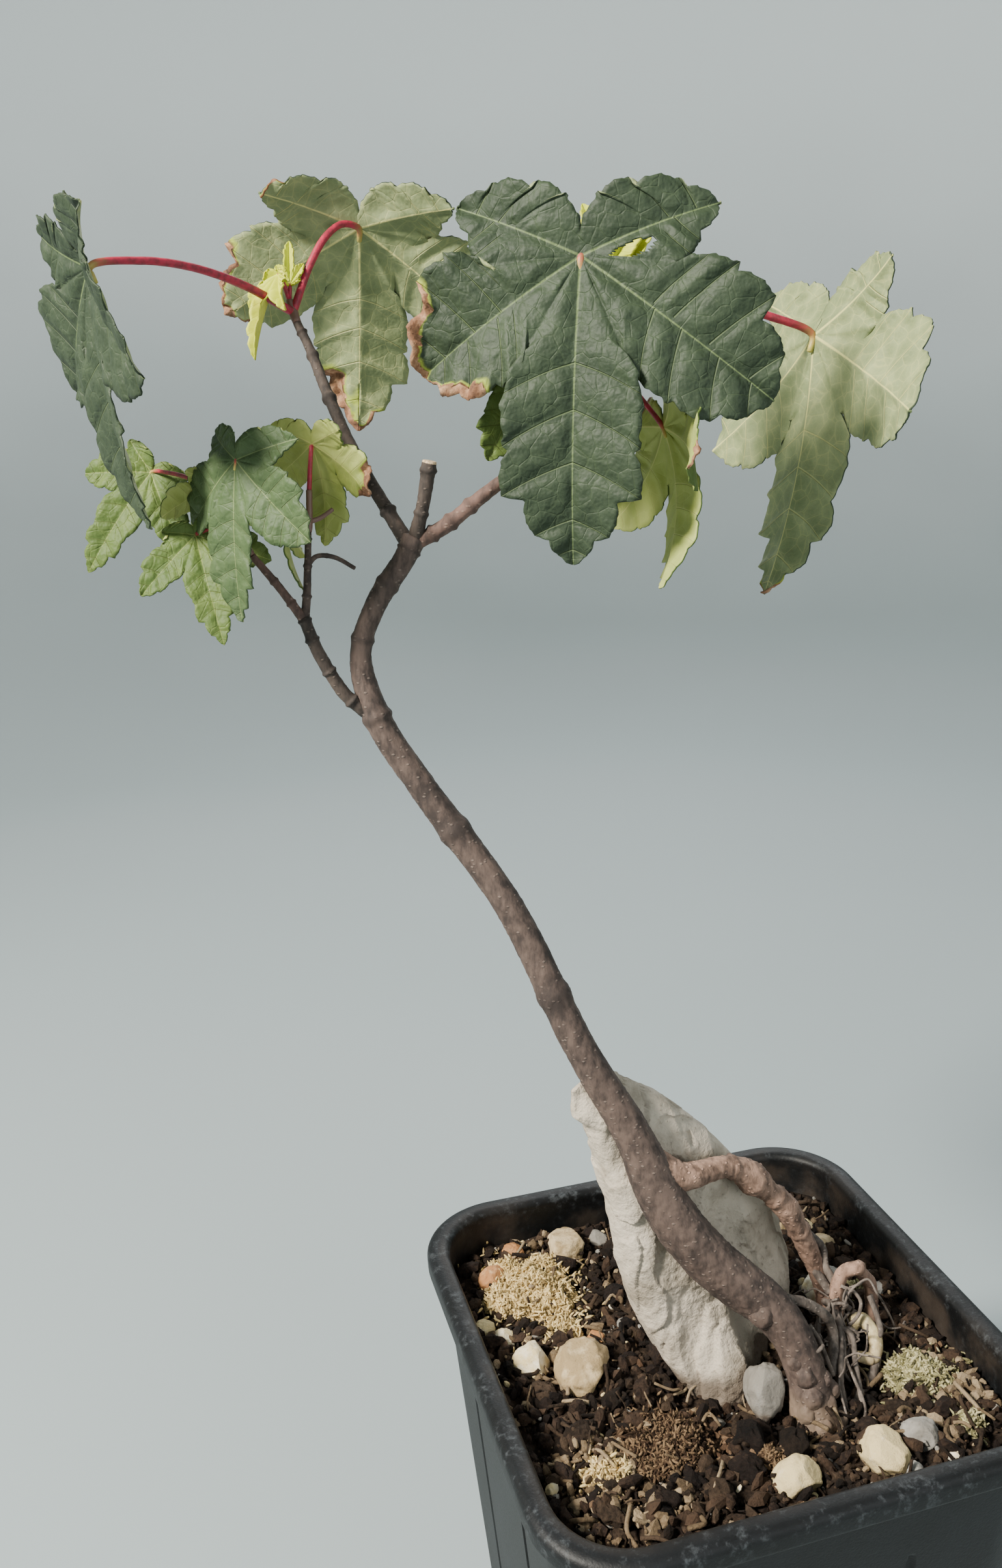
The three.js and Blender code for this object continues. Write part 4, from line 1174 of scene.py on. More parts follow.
    def floor_plate(self) -> bpy.types.Object:
        """The pot's floor, with eight drainage holes."""
        curve = bpy.data.curves.new("pot_floor", "CURVE")
        curve.dimensions = "2D"
        curve.fill_mode = "BOTH"
        curve.extrude = (self.floor / 2 - 0.15) * MM
        curve.bevel_depth = 0.15 * MM
        curve.bevel_resolution = 2
        half = np.array([self.wall_foot - self.wall - 0.6])
        outline, _ = self.ring(half, half * self.corner_share)
        hole = self.drain_radius * np.stack(circle(28), axis=1)
        reach = self.drain_reach
        centres = [(x, y) for x in (-reach, 0, reach) for y in (-reach, 0, reach) if x or y]
        for ring in [outline[0], *(hole + np.array(centre) for centre in centres)]:
            stroke = curve.splines.new("POLY")
            stroke.points.add(len(ring) - 1)
            stroke.points.foreach_set("co", np.c_[ring * MM, np.zeros(len(ring)), np.ones(len(ring))].ravel())
            stroke.use_cyclic_u = True
        drawn = bpy.data.objects.new("pot_floor_outline", curve)
        bpy.context.scene.collection.objects.link(drawn)
        mesh = bpy.data.meshes.new_from_object(drawn.evaluated_get(bpy.context.evaluated_depsgraph_get()))
        bpy.data.objects.remove(drawn)
        mesh.transform(Matrix.Translation((0, 0, self.floor / 2 * MM)))
        mesh.materials.clear()
        mesh.materials.append(PLASTIC.material())
        made = bpy.data.objects.new("pot_floor", mesh)
        bpy.context.scene.collection.objects.link(made)
        return made

    def build(self) -> None:
        """Makes the wall and the floor, which stand for the pot."""
        place(self.shell().object("pot_wall", [PLASTIC]), "pot_plastic", "pot")
        place(self.floor_plate(), "pot_plastic", "pot")


# x, y, width, depth, height, turn and kind
STONES: tuple[tuple[float, float, float, float, float, float, Pebble], ...] = (
    (-39.4, 7.5, 8, 7.5, 7, 20, WHITE), (-30, 1.5, 13.5, 11.5, 10.5, 65, TAN),
    (-43.2, 16.3, 5.5, 5, 4.5, 0, WHITE), (-40.1, 35.5, 8, 6.5, 5.5, 30, ORANGE),
    (-20, 41.5, 10, 8.5, 7, 110, TAN), (30.5, 9.7, 8, 7, 7.5, 45, WHITE),
    (-0.5, -38.3, 9.5, 8, 7.5, 15, WHITE), (17.7, -38.8, 10, 9, 8, 80, WHITE),
    (27.4, -36.2, 7.5, 6.5, 5.5, 10, GREY), (3.6, -16.2, 9.5, 8, 12, 70, GREY),
    (36.2, 20.5, 6, 5.2, 5, 0, WHITE),
)
# x, y, size and kind
GRAVEL: tuple[tuple[float, float, float, Pebble], ...] = (
    (-46.2, 20.4, 4.8, WHITE), (-46.2, -26.1, 2.8, WHITE), (39.4, 30.4, 4, WHITE), (41.2, 24.5, 5.2, TAN),
    (35.5, 12.2, 5.8, GREY), (21.3, -43.4, 4, GREY), (-23.7, 10.2, 4.4, ORANGE), (-33, 43, 6, ORANGE),
    (-11, 43, 5, GREY), (33, 33, 4.5, TAN), (-8, 30, 4.5, TAN), (44, 5, 4, GREY), (31, -42, 3.6, WHITE),
)
# x, y, width, height and finish; the first ones stand for the solids' cushions
MOSSES: tuple[tuple[float, float, float, float, Finish], ...] = (
    (-33.5, 27.5, 20, 7.5, MOSS), (-30.5, 14.5, 9, 4.5, MOSS), (38.4, -21, 14, 6, GREY_MOSS),
    (-21.9, -22.4, 17, 6, RUST_MOSS), (-36.5, 37, 9, 6, MOSS), (-27, 35.5, 9, 5.5, MOSS),
    (-3.2, -30.9, 6, 3.5, RUST_MOSS), (38.8, -36.2, 5, 3, GREY_MOSS), (39.8, 7.6, 5.5, 3.5, GREY_MOSS),
    (-35, -25, 9, 3.5, MOSS),
)
MODELLED_MOSSES = 4
# Large lumps in the soil: x, y and size
CHUNKS: tuple[Triple, ...] = (
    (-4, -26, 9.5), (3, -30, 8.5), (-1, -22, 7), (9, -33, 7.5), (-9, -33, 8), (-16, -37, 7.5), (-27, -35, 7),
    (-36, -15, 7), (-20, -8, 6.5), (-27, -8, 6), (-12, 2, 7), (-40, -2, 6), (20, -30, 6), (29, -27, 7),
    (36, -31, 6), (-38, -35, 6.5), (-43, -24, 5.5), (34, 0, 5), (40, 14, 6), (24, 24, 8), (9, 28, 7.5),
    (-8, 38, 7), (14, 40, 7), (32, 42, 6), (-15, 22, 6.5),
)
# Where each thin root goes into the soil, its radius and the height of its arch
ROOT_ENDS: tuple[Four, ...] = (
    (17.5, -26, 0.6, 2), (22.5, -25, 0.6, 1), (21, -19, 0.7, 2), (38, -3, 1.5, 13), (36.5, 4.5, 0.8, 3),
    (21.5, -10, 0.7, 5),
)
# The wiry roots between them: their radii, and the places that each passes
WIRY_RADII: tuple[float, ...] = (1, 0.9, 0.4, 0.4, 1.1, 0.5, 0.4, 0.6, 1, 0.6)
WIRY_ROOTS: tuple[tuple[Triple, ...], ...] = (
    ((21.7, 1.9, 133.9), (23.4, 1.2, 129.8), (24.1, 0.6, 125), (25.4, -0.7, 122.2), (26.4, -2.7, 120.1)),
    ((23.4, 2.1, 132.5), (26.2, 1.3, 129.1), (26.5, -0.1, 124.9), (27.7, -2.6, 121.4), (25.5, -6.1, 115.3)),
    ((27.5, -5.2, 123.4), (30.1, -6.4, 122), (31.2, -7.4, 119.9), (29.9, -8.7, 117.9), (27.4, -9.5, 116.6)),
    ((22.9, -10.1, 114), (24.1, -9.8, 116), (26.8, -10.4, 116.6), (28.4, -11.3, 115.2), (23.2, -11.5, 113.4)),
    (
        (7.9, -11.5, 130), (11.1, -11.7, 129), (15.5, -11.6, 126.7), (19.5, -11.7, 123.2),
        (21.8, -11.5, 119.1), (19.2, -17.2, 112.5),
    ),
    ((14.1, -15.2, 124.5), (15.7, -16.5, 121.7), (16.7, -17.8, 118.3), (18.2, -18.7, 113.7)),
    ((9.2, -19.4, 120.4), (11, -19.6, 121.6), (13.7, -19.3, 121.3), (15.6, -18.6, 121.8)),
    ((34.1, -6.1, 119.8), (34.5, -9.7, 115.7), (34, -11.2, 113.9), (32.2, -11.2, 112.1)),
    (
        (32.3, -13.1, 109.7), (29.5, -16, 108.3), (23.7, -19.1, 107), (17.5, -21.9, 106.2),
        (11.1, -23.3, 106.5),
    ),
    ((31.4, -0.8, 123.7), (28.4, -3.5, 119.3), (26.1, -7.2, 115.9), (21.4, -10.5, 114.8)),
)
# Where the hair-thin roots start
CURL_SPOTS: tuple[Triple, ...] = (
    (27, -6, 118), (29, -5, 117), (25, -8, 117), (30, -8, 115), (24, -12, 114), (27, -10, 113),
    (22, -14, 113), (33, -5, 117), (20, -18, 113), (31, -3, 119), (26, -4, 121), (17, -20, 114),
)


@dataclass(frozen=True)
class Grains:
    """Loose grains of one kind; least and most are widths.

    Each heap draws the grains from one number up to another towards a centre, over a spread.
    """

    name: str
    finish: Finish
    count: int
    least: float
    most: float
    seed: int
    flatness: float = 0.8
    slot: str = "soil"
    heaps: tuple[tuple[int, int, tuple[float, float], float], ...] = ()


GRAINS: tuple[Grains, ...] = (
    Grains("bark_crumbs", EARTH_DARK, 2300, 0.8, 4.6, 41, 0.6),
    Grains("brown_crumbs", EARTH, 3000, 0.6, 3.2, 42),
    Grains("rusty_crumbs", EARTH_RUST, 420, 0.6, 2.2, 43, heaps=((0, 260, (-10, -22), 9),)),
    Grains(
        "pale_crumbs", EARTH_PALE, 900, 0.7, 3.4, 46,
        heaps=((0, 350, (-32, -28), 13), (350, 520, (40, -25), 9)),
    ),
    Grains("pale_grit", WHITE.value, 110, 0.8, 2.4, 44, slot="pebble"),
    Grains("grey_grit", GREY.value, 180, 0.8, 2.8, 45, slot="pebble"),
)


@dataclass
class Ground:
    """The soil with its crumbs, the pebbles, the moss and the thin roots that reach it."""

    pot: Pot
    edge: float = 110.5
    dish: float = 4.5
    dish_x: float = 14
    dish_y: float = -9
    half_width: float = 27
    half_depth: float = 22
    hollow: float = 1.5
    hollow_x: float = -1
    hollow_y: float = -11
    hollow_half: float = 12.5
    ripple: float = 0.7
    ripple_pitch: float = 13
    clearance: float = 0.35
    sink: float = 0.3
    propped: float = 3.5
    knot: Triple = (26.5, -4, 116.5)
    roots_end: float = 103

    def height(self, x: Array | float, y: Array | float) -> Array:
        """The soil's level: the edge's, less a dish round the tree and a hollow, and crossed waves."""
        off = ((x - self.dish_x) / self.half_width) ** 2 + ((y - self.dish_y) / self.half_depth) ** 2
        phase = 2 * math.pi / self.ripple_pitch
        wave = self.ripple * np.sin(phase * x + 1) * np.cos(phase * y * 0.8)
        near = ((x - self.hollow_x) ** 2 + (y - self.hollow_y) ** 2) / self.hollow_half**2
        return self.edge - self.dish * np.exp(-(off**2)) - self.hollow * np.exp(-near) + wave

    def soil(self) -> Surface:
        """The soil: its roughened top, then down the wall and in below.

        Returns:
            The closed surface with the value "tone".
        """
        low = self.pot.floor + self.clearance
        rim, foot = (self.outline(z) for z in (self.edge, low))
        shares = np.linspace(0, 1, 110) ** 0.8
        flat = shares[:, None, None] * rim
        base = self.height(flat[..., 0], flat[..., 1])
        spots = np.dstack([flat, base])
        rough = 2.2 * noise(spots, 9, 3, 3) + 0.9 * noise(spots, 2.4, 9, 2)
        fade = 1 - smooth(shares, 0.985, 1)
        top = np.dstack([flat, base - 0.4 + rough * (0.25 + 0.75 * fade[:, None])])
        down = np.linspace(0, 1, 8)[1:, None, None]
        under = np.dstack([foot * np.array([0.5, 0])[:, None, None], np.full((2, foot.shape[1]), low)])
        side = top[-1:] * (1 - down) + np.dstack([foot, np.full((1, foot.shape[1]), low)]) * down
        tone = np.concatenate([0.5 + 0.4 * noise(spots, 7, 12, 2), np.zeros((9, rim.shape[1]))])
        grid = np.concatenate([top, side, under])
        return Surface.of_grid(grid, around=True, values={"tone": tone}).welded(1e-3)

    def outline(self, z: float) -> Array:
        """The pot's inner outline at a height, less the clearance, shape (1, columns, 2)."""
        half = np.array([float(self.pot.wall_half(z)) - self.pot.wall - self.clearance])
        return self.pot.ring(half, half * self.pot.corner_share)[0]

    def scatter(self, count: int, seed: int, inset: float = 1.5) -> tuple[Array, np.random.Generator]:
        """Random places on the soil.

        Args:
            count: How many.
            seed: Picks them.
            inset: Least distance from the wall.

        Returns:
            Places (n, 3) and the generator, for sizes.
        """
        rng = np.random.default_rng(seed)
        half = float(self.pot.wall_half(self.edge)) - self.pot.wall - inset
        xy = rng.uniform(-half, half, (3 * count, 2))
        corner = half * self.pot.corner_share
        over = np.maximum(np.abs(xy) - (half - corner), 0)
        xy = xy[np.hypot(over[:, 0], over[:, 1]) < corner][:count]
        return np.c_[xy, self.height(xy[:, 0], xy[:, 1])], rng

    def crumbs(self) -> None:
        """Bark crumbs, rusty clumps, pale crumbs and grit, joined by kind."""
        for kind in GRAINS:
            centres, rng = self.scatter(kind.count, kind.seed)
            for first, last, centre, spread in kind.heaps:
                centres[first:last] = self.near(centres[first:last], centre, spread)
            count = len(centres)
            widths = kind.least + (kind.most - kind.least) * rng.uniform(0, 1, count) ** 2.4
            long, broad = rng.uniform(0.8, 1.5, count), rng.uniform(0.5, 1, count)
            shapes = np.c_[long, broad, 0 * widths + kind.flatness]
            heap = 1.6 * noise(centres, 9, 3, 3)
            centres[:, 2] += heap + widths * rng.uniform(-0.1, 0.4, count)
            grains = Crumb().scattered(centres, widths[:, None] * shapes, kind.seed + 100)
            place(grains.object(kind.name, [kind.finish], shade_smooth=False), kind.slot)

    def fibres(self) -> None:
        """Short dead roots and shreds of bark."""
        kinds = ("dead_roots", EARTH, 190, 81), ("pale_shreds", EARTH_PALE, 110, 82)
        for name, finish, count, seed in kinds:
            centres, rng = self.scatter(count, seed, 4)
            parts = []
            for number, centre in enumerate(centres):
                way = rng.normal(size=3) * np.array([1, 1, 0.35])
                way = way / np.linalg.norm(way) * rng.uniform(1.2, 4.2)
                bow = rng.normal(0, 0.8, 3)
                base = centre + np.array([0, 0, rng.uniform(0.6, 2.4)])
                path = [base - way, base + bow, base + way]
                body = strand(path, rng.uniform(0.16, 0.5), 7, 0.9, 0.2, number)
                parts.append(body.marked("tone", rng.uniform(0, 1)))
            place(Surface.joined(parts).object(name, [finish]), "soil")

    def chunks(self) -> None:
        """The large rough lumps of bark and root crumb."""
        rng = np.random.default_rng(52)
        bodies = []
        for number, (x, y, size) in enumerate(CHUNKS):
            z = float(self.height(x, y)) + 0.12 * size
            shape = size * np.array([1, rng.uniform(0.55, 0.8), rng.uniform(0.5, 0.75)])
            body = lump(np.array([x, y, z]), shape, 0.34, 600 + number, 40, rng.uniform(0, 180), facets=5)
            body.points += 0.35 * noise(body.points, 1.8, 640 + number, 2)[:, None]
            bodies.append(body.marked("tone", rng.uniform(0, 0.8)))
        place(Surface.joined(bodies[::2]).object("dark_chunks", [EARTH_DARK]), "soil")
        place(Surface.joined(bodies[1::2]).object("brown_chunks", [EARTH]), "soil")

    def near(self, places: Array, centre: tuple[float, float], spread: float) -> Array:
        """Draws places towards a centre: their offsets are scaled to the spread."""
        drawn = places.copy()
        half = float(self.pot.wall_half(self.edge))
        drawn[:, :2] = np.array(centre) + (places[:, :2] / half) * spread
        drawn[:, 2] = self.height(drawn[:, 0], drawn[:, 1])
        return drawn

    def stones(self) -> None:
        """The pebbles, each its own piece, and the gravel, joined by colour."""
        for number, (x, y, width, depth, tall, turn, kind) in enumerate(STONES, start=1):
            body = self.pebble(np.array([x, y]), np.array([width, depth, tall]), turn, 200 + number)
            place(body.object(f"pebble_{number:02d}", [kind.value]), "pebble", f"stone_{number:02d}")
        for kind in Pebble:
            bits = [
                self.pebble(np.array([x, y]), size * np.array([1, 0.85, 0.75]), 40 * number, 260 + number)
                for number, (x, y, size, colour) in enumerate(GRAVEL)
                if colour is kind
            ]
            place(Surface.joined(bits).object(f"gravel_{kind.name.lower()}", [kind.value]), "pebble")

    def pebble(self, at: Array, size: Array, turn: float, seed: int) -> Surface:
        """One pebble, sunk a little into the soil.

        Args:
            at: Its place.
            size: Its width, depth and height.
            turn: Degrees about Z.
            seed: Picks its shape.

        Returns:
            The closed surface with the value "stain", high near the soil.
        """
        z = float(self.height(at[0], at[1])) + size[2] * (0.5 - self.sink)
        if np.hypot(at[0] - self.hollow_x, at[1] - self.hollow_y) < 0.6 * self.hollow_half:
            z += self.propped
        body = lump(np.array([*at, z]), size * 1.04, 0.2, seed, 34, turn, facets=8)
        low = body.points[:, 2] - (z - 0.42 * size[2])
        body.values["stain"] = 1 - smooth(low / size[2] + 0.1 * noise(body.points, 1.5, seed), 0, 0.45)
        return body.marked("tone", 0.5 + 0.5 * float(lattice(np.array([seed, 1, 1]), 1)))

    def mosses(self) -> None:
        """The moss cushions: a lumpy dome, its tufts, and loose tufts round it."""
        for number, (x, y, width, tall, finish) in enumerate(MOSSES, start=1):
            z = float(self.height(x, y))
            dome = lump(np.array([x, y, z]), np.array([width, width * 0.9, tall]), 0.22, 300 + number, 44)
            dome.points[:, 2] += 0.7 * noise(dome.points, 4, 310 + number, 2)
            rng = np.random.default_rng(400 + number)
            upper = dome.points[dome.points[:, 2] > z - 0.4]
            spots = upper[rng.integers(0, len(upper), int(8 * width * width))]
            heap = np.maximum(noise(spots, 2.6, 320 + number, 2), -0.2)
            spots = spots + rng.normal(0, 0.3, spots.shape) + heap[:, None] * np.array([0, 0, 1.5])
            scattered = rng.normal(0, 0.34 * width, (int(1.4 * width * width), 2)) + [x, y]
            loose = np.c_[scattered, self.height(scattered[:, 0], scattered[:, 1]) + 0.8]
            spots = np.concatenate([spots, loose])
            sizes = rng.uniform(0.5, 1.3, (len(spots), 1)) ** 1.3 * np.array([[0.5, 0.5, 2]])
            tufts = Crumb().scattered(spots, sizes, 500 + number)
            whole = Surface.joined([dome.marked("tone", 0.2), tufts])
            made = whole.object(f"moss_cushion_{number}", [finish])
            place(made, "moss", *([f"moss_{number}"] if number <= MODELLED_MOSSES else []))

    def thin_roots(self) -> None:
        """The thin roots that arch from their knot beside the rock, and the wiry ones."""
        knot = np.array(self.knot)
        thick = [lump(knot, np.array([5.2, 5.2, 6.8]), 0.22, 5, 20)]
        wires = []
        rng = np.random.default_rng(61)
        for number, (x, y, radius, arch) in enumerate(ROOT_ENDS):
            end = np.array([x, y, self.roots_end])
            (thick if radius > 1 else wires).append(self.thin_root(knot, end, arch, radius, number))
            for extra in range(1 if y < -15 else 3):
                nudge = np.r_[rng.normal(0, 3, 2), 0]
                start = knot + rng.normal(0, 1.2, 3)
                rise = arch * rng.uniform(0.4, 1.2)
                seed = 20 + 3 * number + extra
                wires.append(self.thin_root(start, end + nudge, rise, rng.uniform(0.22, 0.4), seed))
        place(Surface.joined(thick).object("thin_roots", [ROOT_BARK]), "root_bark", "fine_roots")
        for number, (radius, spots) in enumerate(zip(WIRY_RADII, WIRY_ROOTS)):
            wires.append(strand(spots, radius, 12, 0.35, 0.14, 70 + number))
        wires += [self.curl(np.array(spot), number) for number, spot in enumerate(CURL_SPOTS)]
        place(Surface.joined(wires).object("wiry_roots", [WIRY_BARK]), "root_bark", "fine_roots")

    @staticmethod
    def curl(start: Array, seed: int) -> Surface:
        """A hair-thin root that wanders for a centimetre.

        Args:
            start: Where it starts.
            seed: Picks its way.

        Returns:
            The closed surface.
        """
        rng = np.random.default_rng(700 + seed)
        steps = rng.normal(0, 1.2, (7, 3)) + rng.normal(0, 0.8, 3)
        path = start + np.cumsum(steps, axis=0) * np.array([1, 0.8, 0.9])
        path[:, 2] = np.clip(path[:, 2], 106, 124)
        return strand(path, 0.2, 8, 0.4, 0.1, seed)

    @staticmethod
    def thin_root(start: Array, finish: Array, arch: float, radius: float, seed: int) -> Surface:
        """One thin root: up over its arch, then down in an uneven line.

        Args:
            start: Where it leaves the knot.
            finish: Where it ends under the soil.
            arch: Its rise above the line between them.
            radius: Its radius.
            seed: Picks its unevenness.

        Returns:
            The closed surface.
        """
        rng = np.random.default_rng(900 + seed)
        way = np.array([0, 0.2, 0.4, 0.62, 0.82, 0.93, 1])
        rise = np.array([0, 0.7, 1, 1, 0.85, 0.5, 0])
        path = start + (finish - start) * way[:, None]
        path[:, 2] = start[2] + (finish[2] - start[2]) * way**2.2 + rise * arch
        path[1:-1] += rng.normal(0, 1.1, (5, 3)) * np.array([1, 1, 0.5])
        return strand(path, radius, 14, 0.4, 0.14, seed)

    def build(self) -> None:
        """Makes the soil and everything on it."""
        place(self.soil().object("soil_surface", [EARTH]), "soil", "soil")
        self.crumbs()
        self.chunks()
        self.fibres()
        self.stones()
        self.mosses()
        self.thin_roots()


@dataclass
class Rock:
    """The slab of pale rock that the tree grips: rings of a squared oval on a leaning plane."""

    foot: tuple[float, float] = (-3, -8)
    turn: float = 15
    lean_back: float = 10
    foot_height: float = 104
    foot_depth: float = 7.5
    toe: float = 9
    toe_at: float = 3.5
    toe_half: float = 13
    squareness: float = 2.6
    # Height, left edge, right edge and thickness
    levels: tuple[Four, ...] = (
        (97, 0, 24, 14), (104, -4.5, 25, 15.5), (113, -8.6, 28, 15.5), (124, -12.6, 28.5, 14.5),
        (138, -15.4, 24.5, 14), (150, -16.2, 16.5, 12.5), (160, -17.8, 8.5, 11), (166, -19.4, 2, 9.6),
        (168, -20, -0.5, 9), (171, -23.2, -3.5, 9), (177, -23.8, -11, 7.5),
    )
    columns: int = 220
    rows: int = 230
    crown_rows: int = 13
    crown: float = 1.6
    half_sizes: Triple = (24, 11, 40)
    swell: float = 1
    plate: float = 3
    ridge: float = 4.2
    valley: float = 1.2
    grain: float = 0.25
    soiled: tuple[float, float] = (107, 118)

    def surface(self) -> Surface:
        """The slab: middle + half width along it + half thickness across it, broken by noise.

        Returns:
            The surface with the value "stain", high near the soil.
        """
        turn = math.radians(self.turn)
        along = np.array([math.cos(turn), math.sin(turn), 0])
        back = np.array([-along[1], along[0], 0])
        table = np.array(self.levels)
        z = np.linspace(table[0, 0], table[-1, 0], self.rows)
        runs = [np.interp(z, table[:, 0], table[:, k]) for k in (1, 2, 3)]
        runs.append((z - self.foot_height) * math.tan(math.radians(self.lean_back)) + self.foot_depth)
        left, right, thick, depth = np.pad(runs, ((0, 0), (0, self.crown_rows)), mode="edge")
        up = np.linspace(0, 1, self.crown_rows + 1)[1:]
        closing = np.r_[np.ones(self.rows), np.sqrt(1 - up**2)]
        half, deep = (right - left) / 2 * closing, thick / 2 * closing
        round_x, round_y = circle(self.columns)
        c, s = (np.sign(v) * np.abs(v) ** (2 / self.squareness) for v in (round_x, round_y))
        middle = np.array([*self.foot, 0]) + ((left + right) / 2)[:, None] * along + depth[:, None] * back
        middle[:, 2] = np.r_[z, z[-1] + self.crown * up]
        out = half[:, None, None] * c[:, None] * along + deep[:, None, None] * s[:, None] * back
        grid = middle[:, None] + out
        axes = np.stack([along, back, [0, 0, 1]])
        centre = grid.reshape(-1, 3).mean(axis=0)
        local = (grid - centre) @ axes.T
        broken = faceted(local, np.array(self.half_sizes), 60, 0.15, 12, np.array([0.5, 1.6, 0.5]))
        toe = np.exp(-(((local[..., 0] - self.toe_at) / self.toe_half) ** 2))
        toe = toe * (1 - smooth(grid[..., 2], self.foot_height, 132)) * (local[..., 1] < 0)
        deep_now = broken[..., 1] * 1.06 - self.toe * toe
        grid = centre + np.stack([local[..., 0], deep_now, local[..., 2]], axis=-1) @ axes
        plate = np.round(3 * noise(grid * np.array([1, 1, 0.55]), 10, 31, 2)) / 3
        ridge = -np.abs(noise(grid * np.array([1, 1, 0.6]), 14, 27, 2))
        valley = np.abs(noise(grid * np.array([1, 1, 0.7]), 5.5, 21, 2))
        push = self.swell + self.plate * plate + self.ridge * ridge + self.valley * valley
        push = push + self.grain * noise(grid, 1.4, 24, 2)
        push = push * closing[:, None] * (0.3 + 0.7 * np.abs(round_y))
        across, through = round_x / (half + 0.5)[:, None], round_y / (deep + 0.5)[:, None]
        grid = grid + unit(across[..., None] * along + through[..., None] * back) * push[..., None]
        stain = 1 - smooth(grid[..., 2], *self.soiled)
        floor = grid[:1].mean(axis=1, keepdims=True) + 0 * grid[:1]
        closed, values = np.concatenate([floor, grid]), {"stain": np.concatenate([stain[:1], stain])}
        return Surface.of_grid(closed, around=True, values=values).flipped().welded(1e-3)

    def build(self) -> None:
        """Makes the rock's piece."""
        place(self.surface().object("gripped_rock", [SLATE]), "slate", "rock")


# Leaves


LOBE_ANGLES = (-112, -56, 0, 56, 112)
LOBE_LENGTHS = (0.48, 0.77, 1, 0.77, 0.48)
NOTCH_RADII = (0.31, 0.34, 0.34, 0.31)
# Relief as shares of the leaf's size: pillows between veins, their crumpling, the margin's waves
PILLOW, CRUMPLE, WAVE = 0.013, 0.005, 0.02
# The size of leaf whose veins are as wide as the blade's finish draws them
FULL_SIZE = 55
# Lobes of a leaf that has barely opened
CLOSED_LOBES = (0.5, 0.7, 1, 0.7, 0.5)
CLOSED_ANGLES = (-66, -34, 0, 34, 66)


class LobeSide(Enum):
    """The teeth of each kind of lobe side.

    Each is a share of the lobe's length, then the half width before and after its step, as shares
    of the leaf's size.
    """

    CENTRE = ((0.6, 0.235, 0.21), (0.76, 0.24, 0.155), (0.895, 0.13, 0.075), (0.965, 0.05, 0.03))
    SHOULDER_INNER = ((0.64, 0.215, 0.195), (0.82, 0.18, 0.14), (0.94, 0.095, 0.055))
    SHOULDER_OUTER = ((0.55, 0.265, 0.235), (0.74, 0.25, 0.165), (0.91, 0.13, 0.08))
    BASE_INNER = ((0.78, 0.1, 0.07),)
    BASE_OUTER = ((0.24, 0.155, 0.14), (0.45, 0.16, 0.125), (0.77, 0.11, 0.075))


SIDES_OF_LOBE = (
    (LobeSide.BASE_OUTER, LobeSide.BASE_INNER),
    (LobeSide.SHOULDER_OUTER, LobeSide.SHOULDER_INNER),
    (LobeSide.CENTRE, LobeSide.CENTRE),
    (LobeSide.SHOULDER_INNER, LobeSide.SHOULDER_OUTER),
    (LobeSide.BASE_INNER, LobeSide.BASE_OUTER),
)


class Age(Enum):
    """A leaf's age: the number of its first finish in the joined piece."""

    MATURE = 0
    YOUNG = 2
    BUD = 4
    GROWING = 6


@dataclass(frozen=True)
class Scorch:
    """A burnt stretch along one side of a lobe, as shares of its rows and of its half width."""

    lobe: int
    side: int
    start: float
    depth: float
    end: float = 2


@dataclass(frozen=True)
class Tear:
    """A hole in a lobe: its middle and half sizes along and across, as shares of the leaf's size."""

    lobe: int
    along: float
    across: float
    half_along: float
    half_across: float


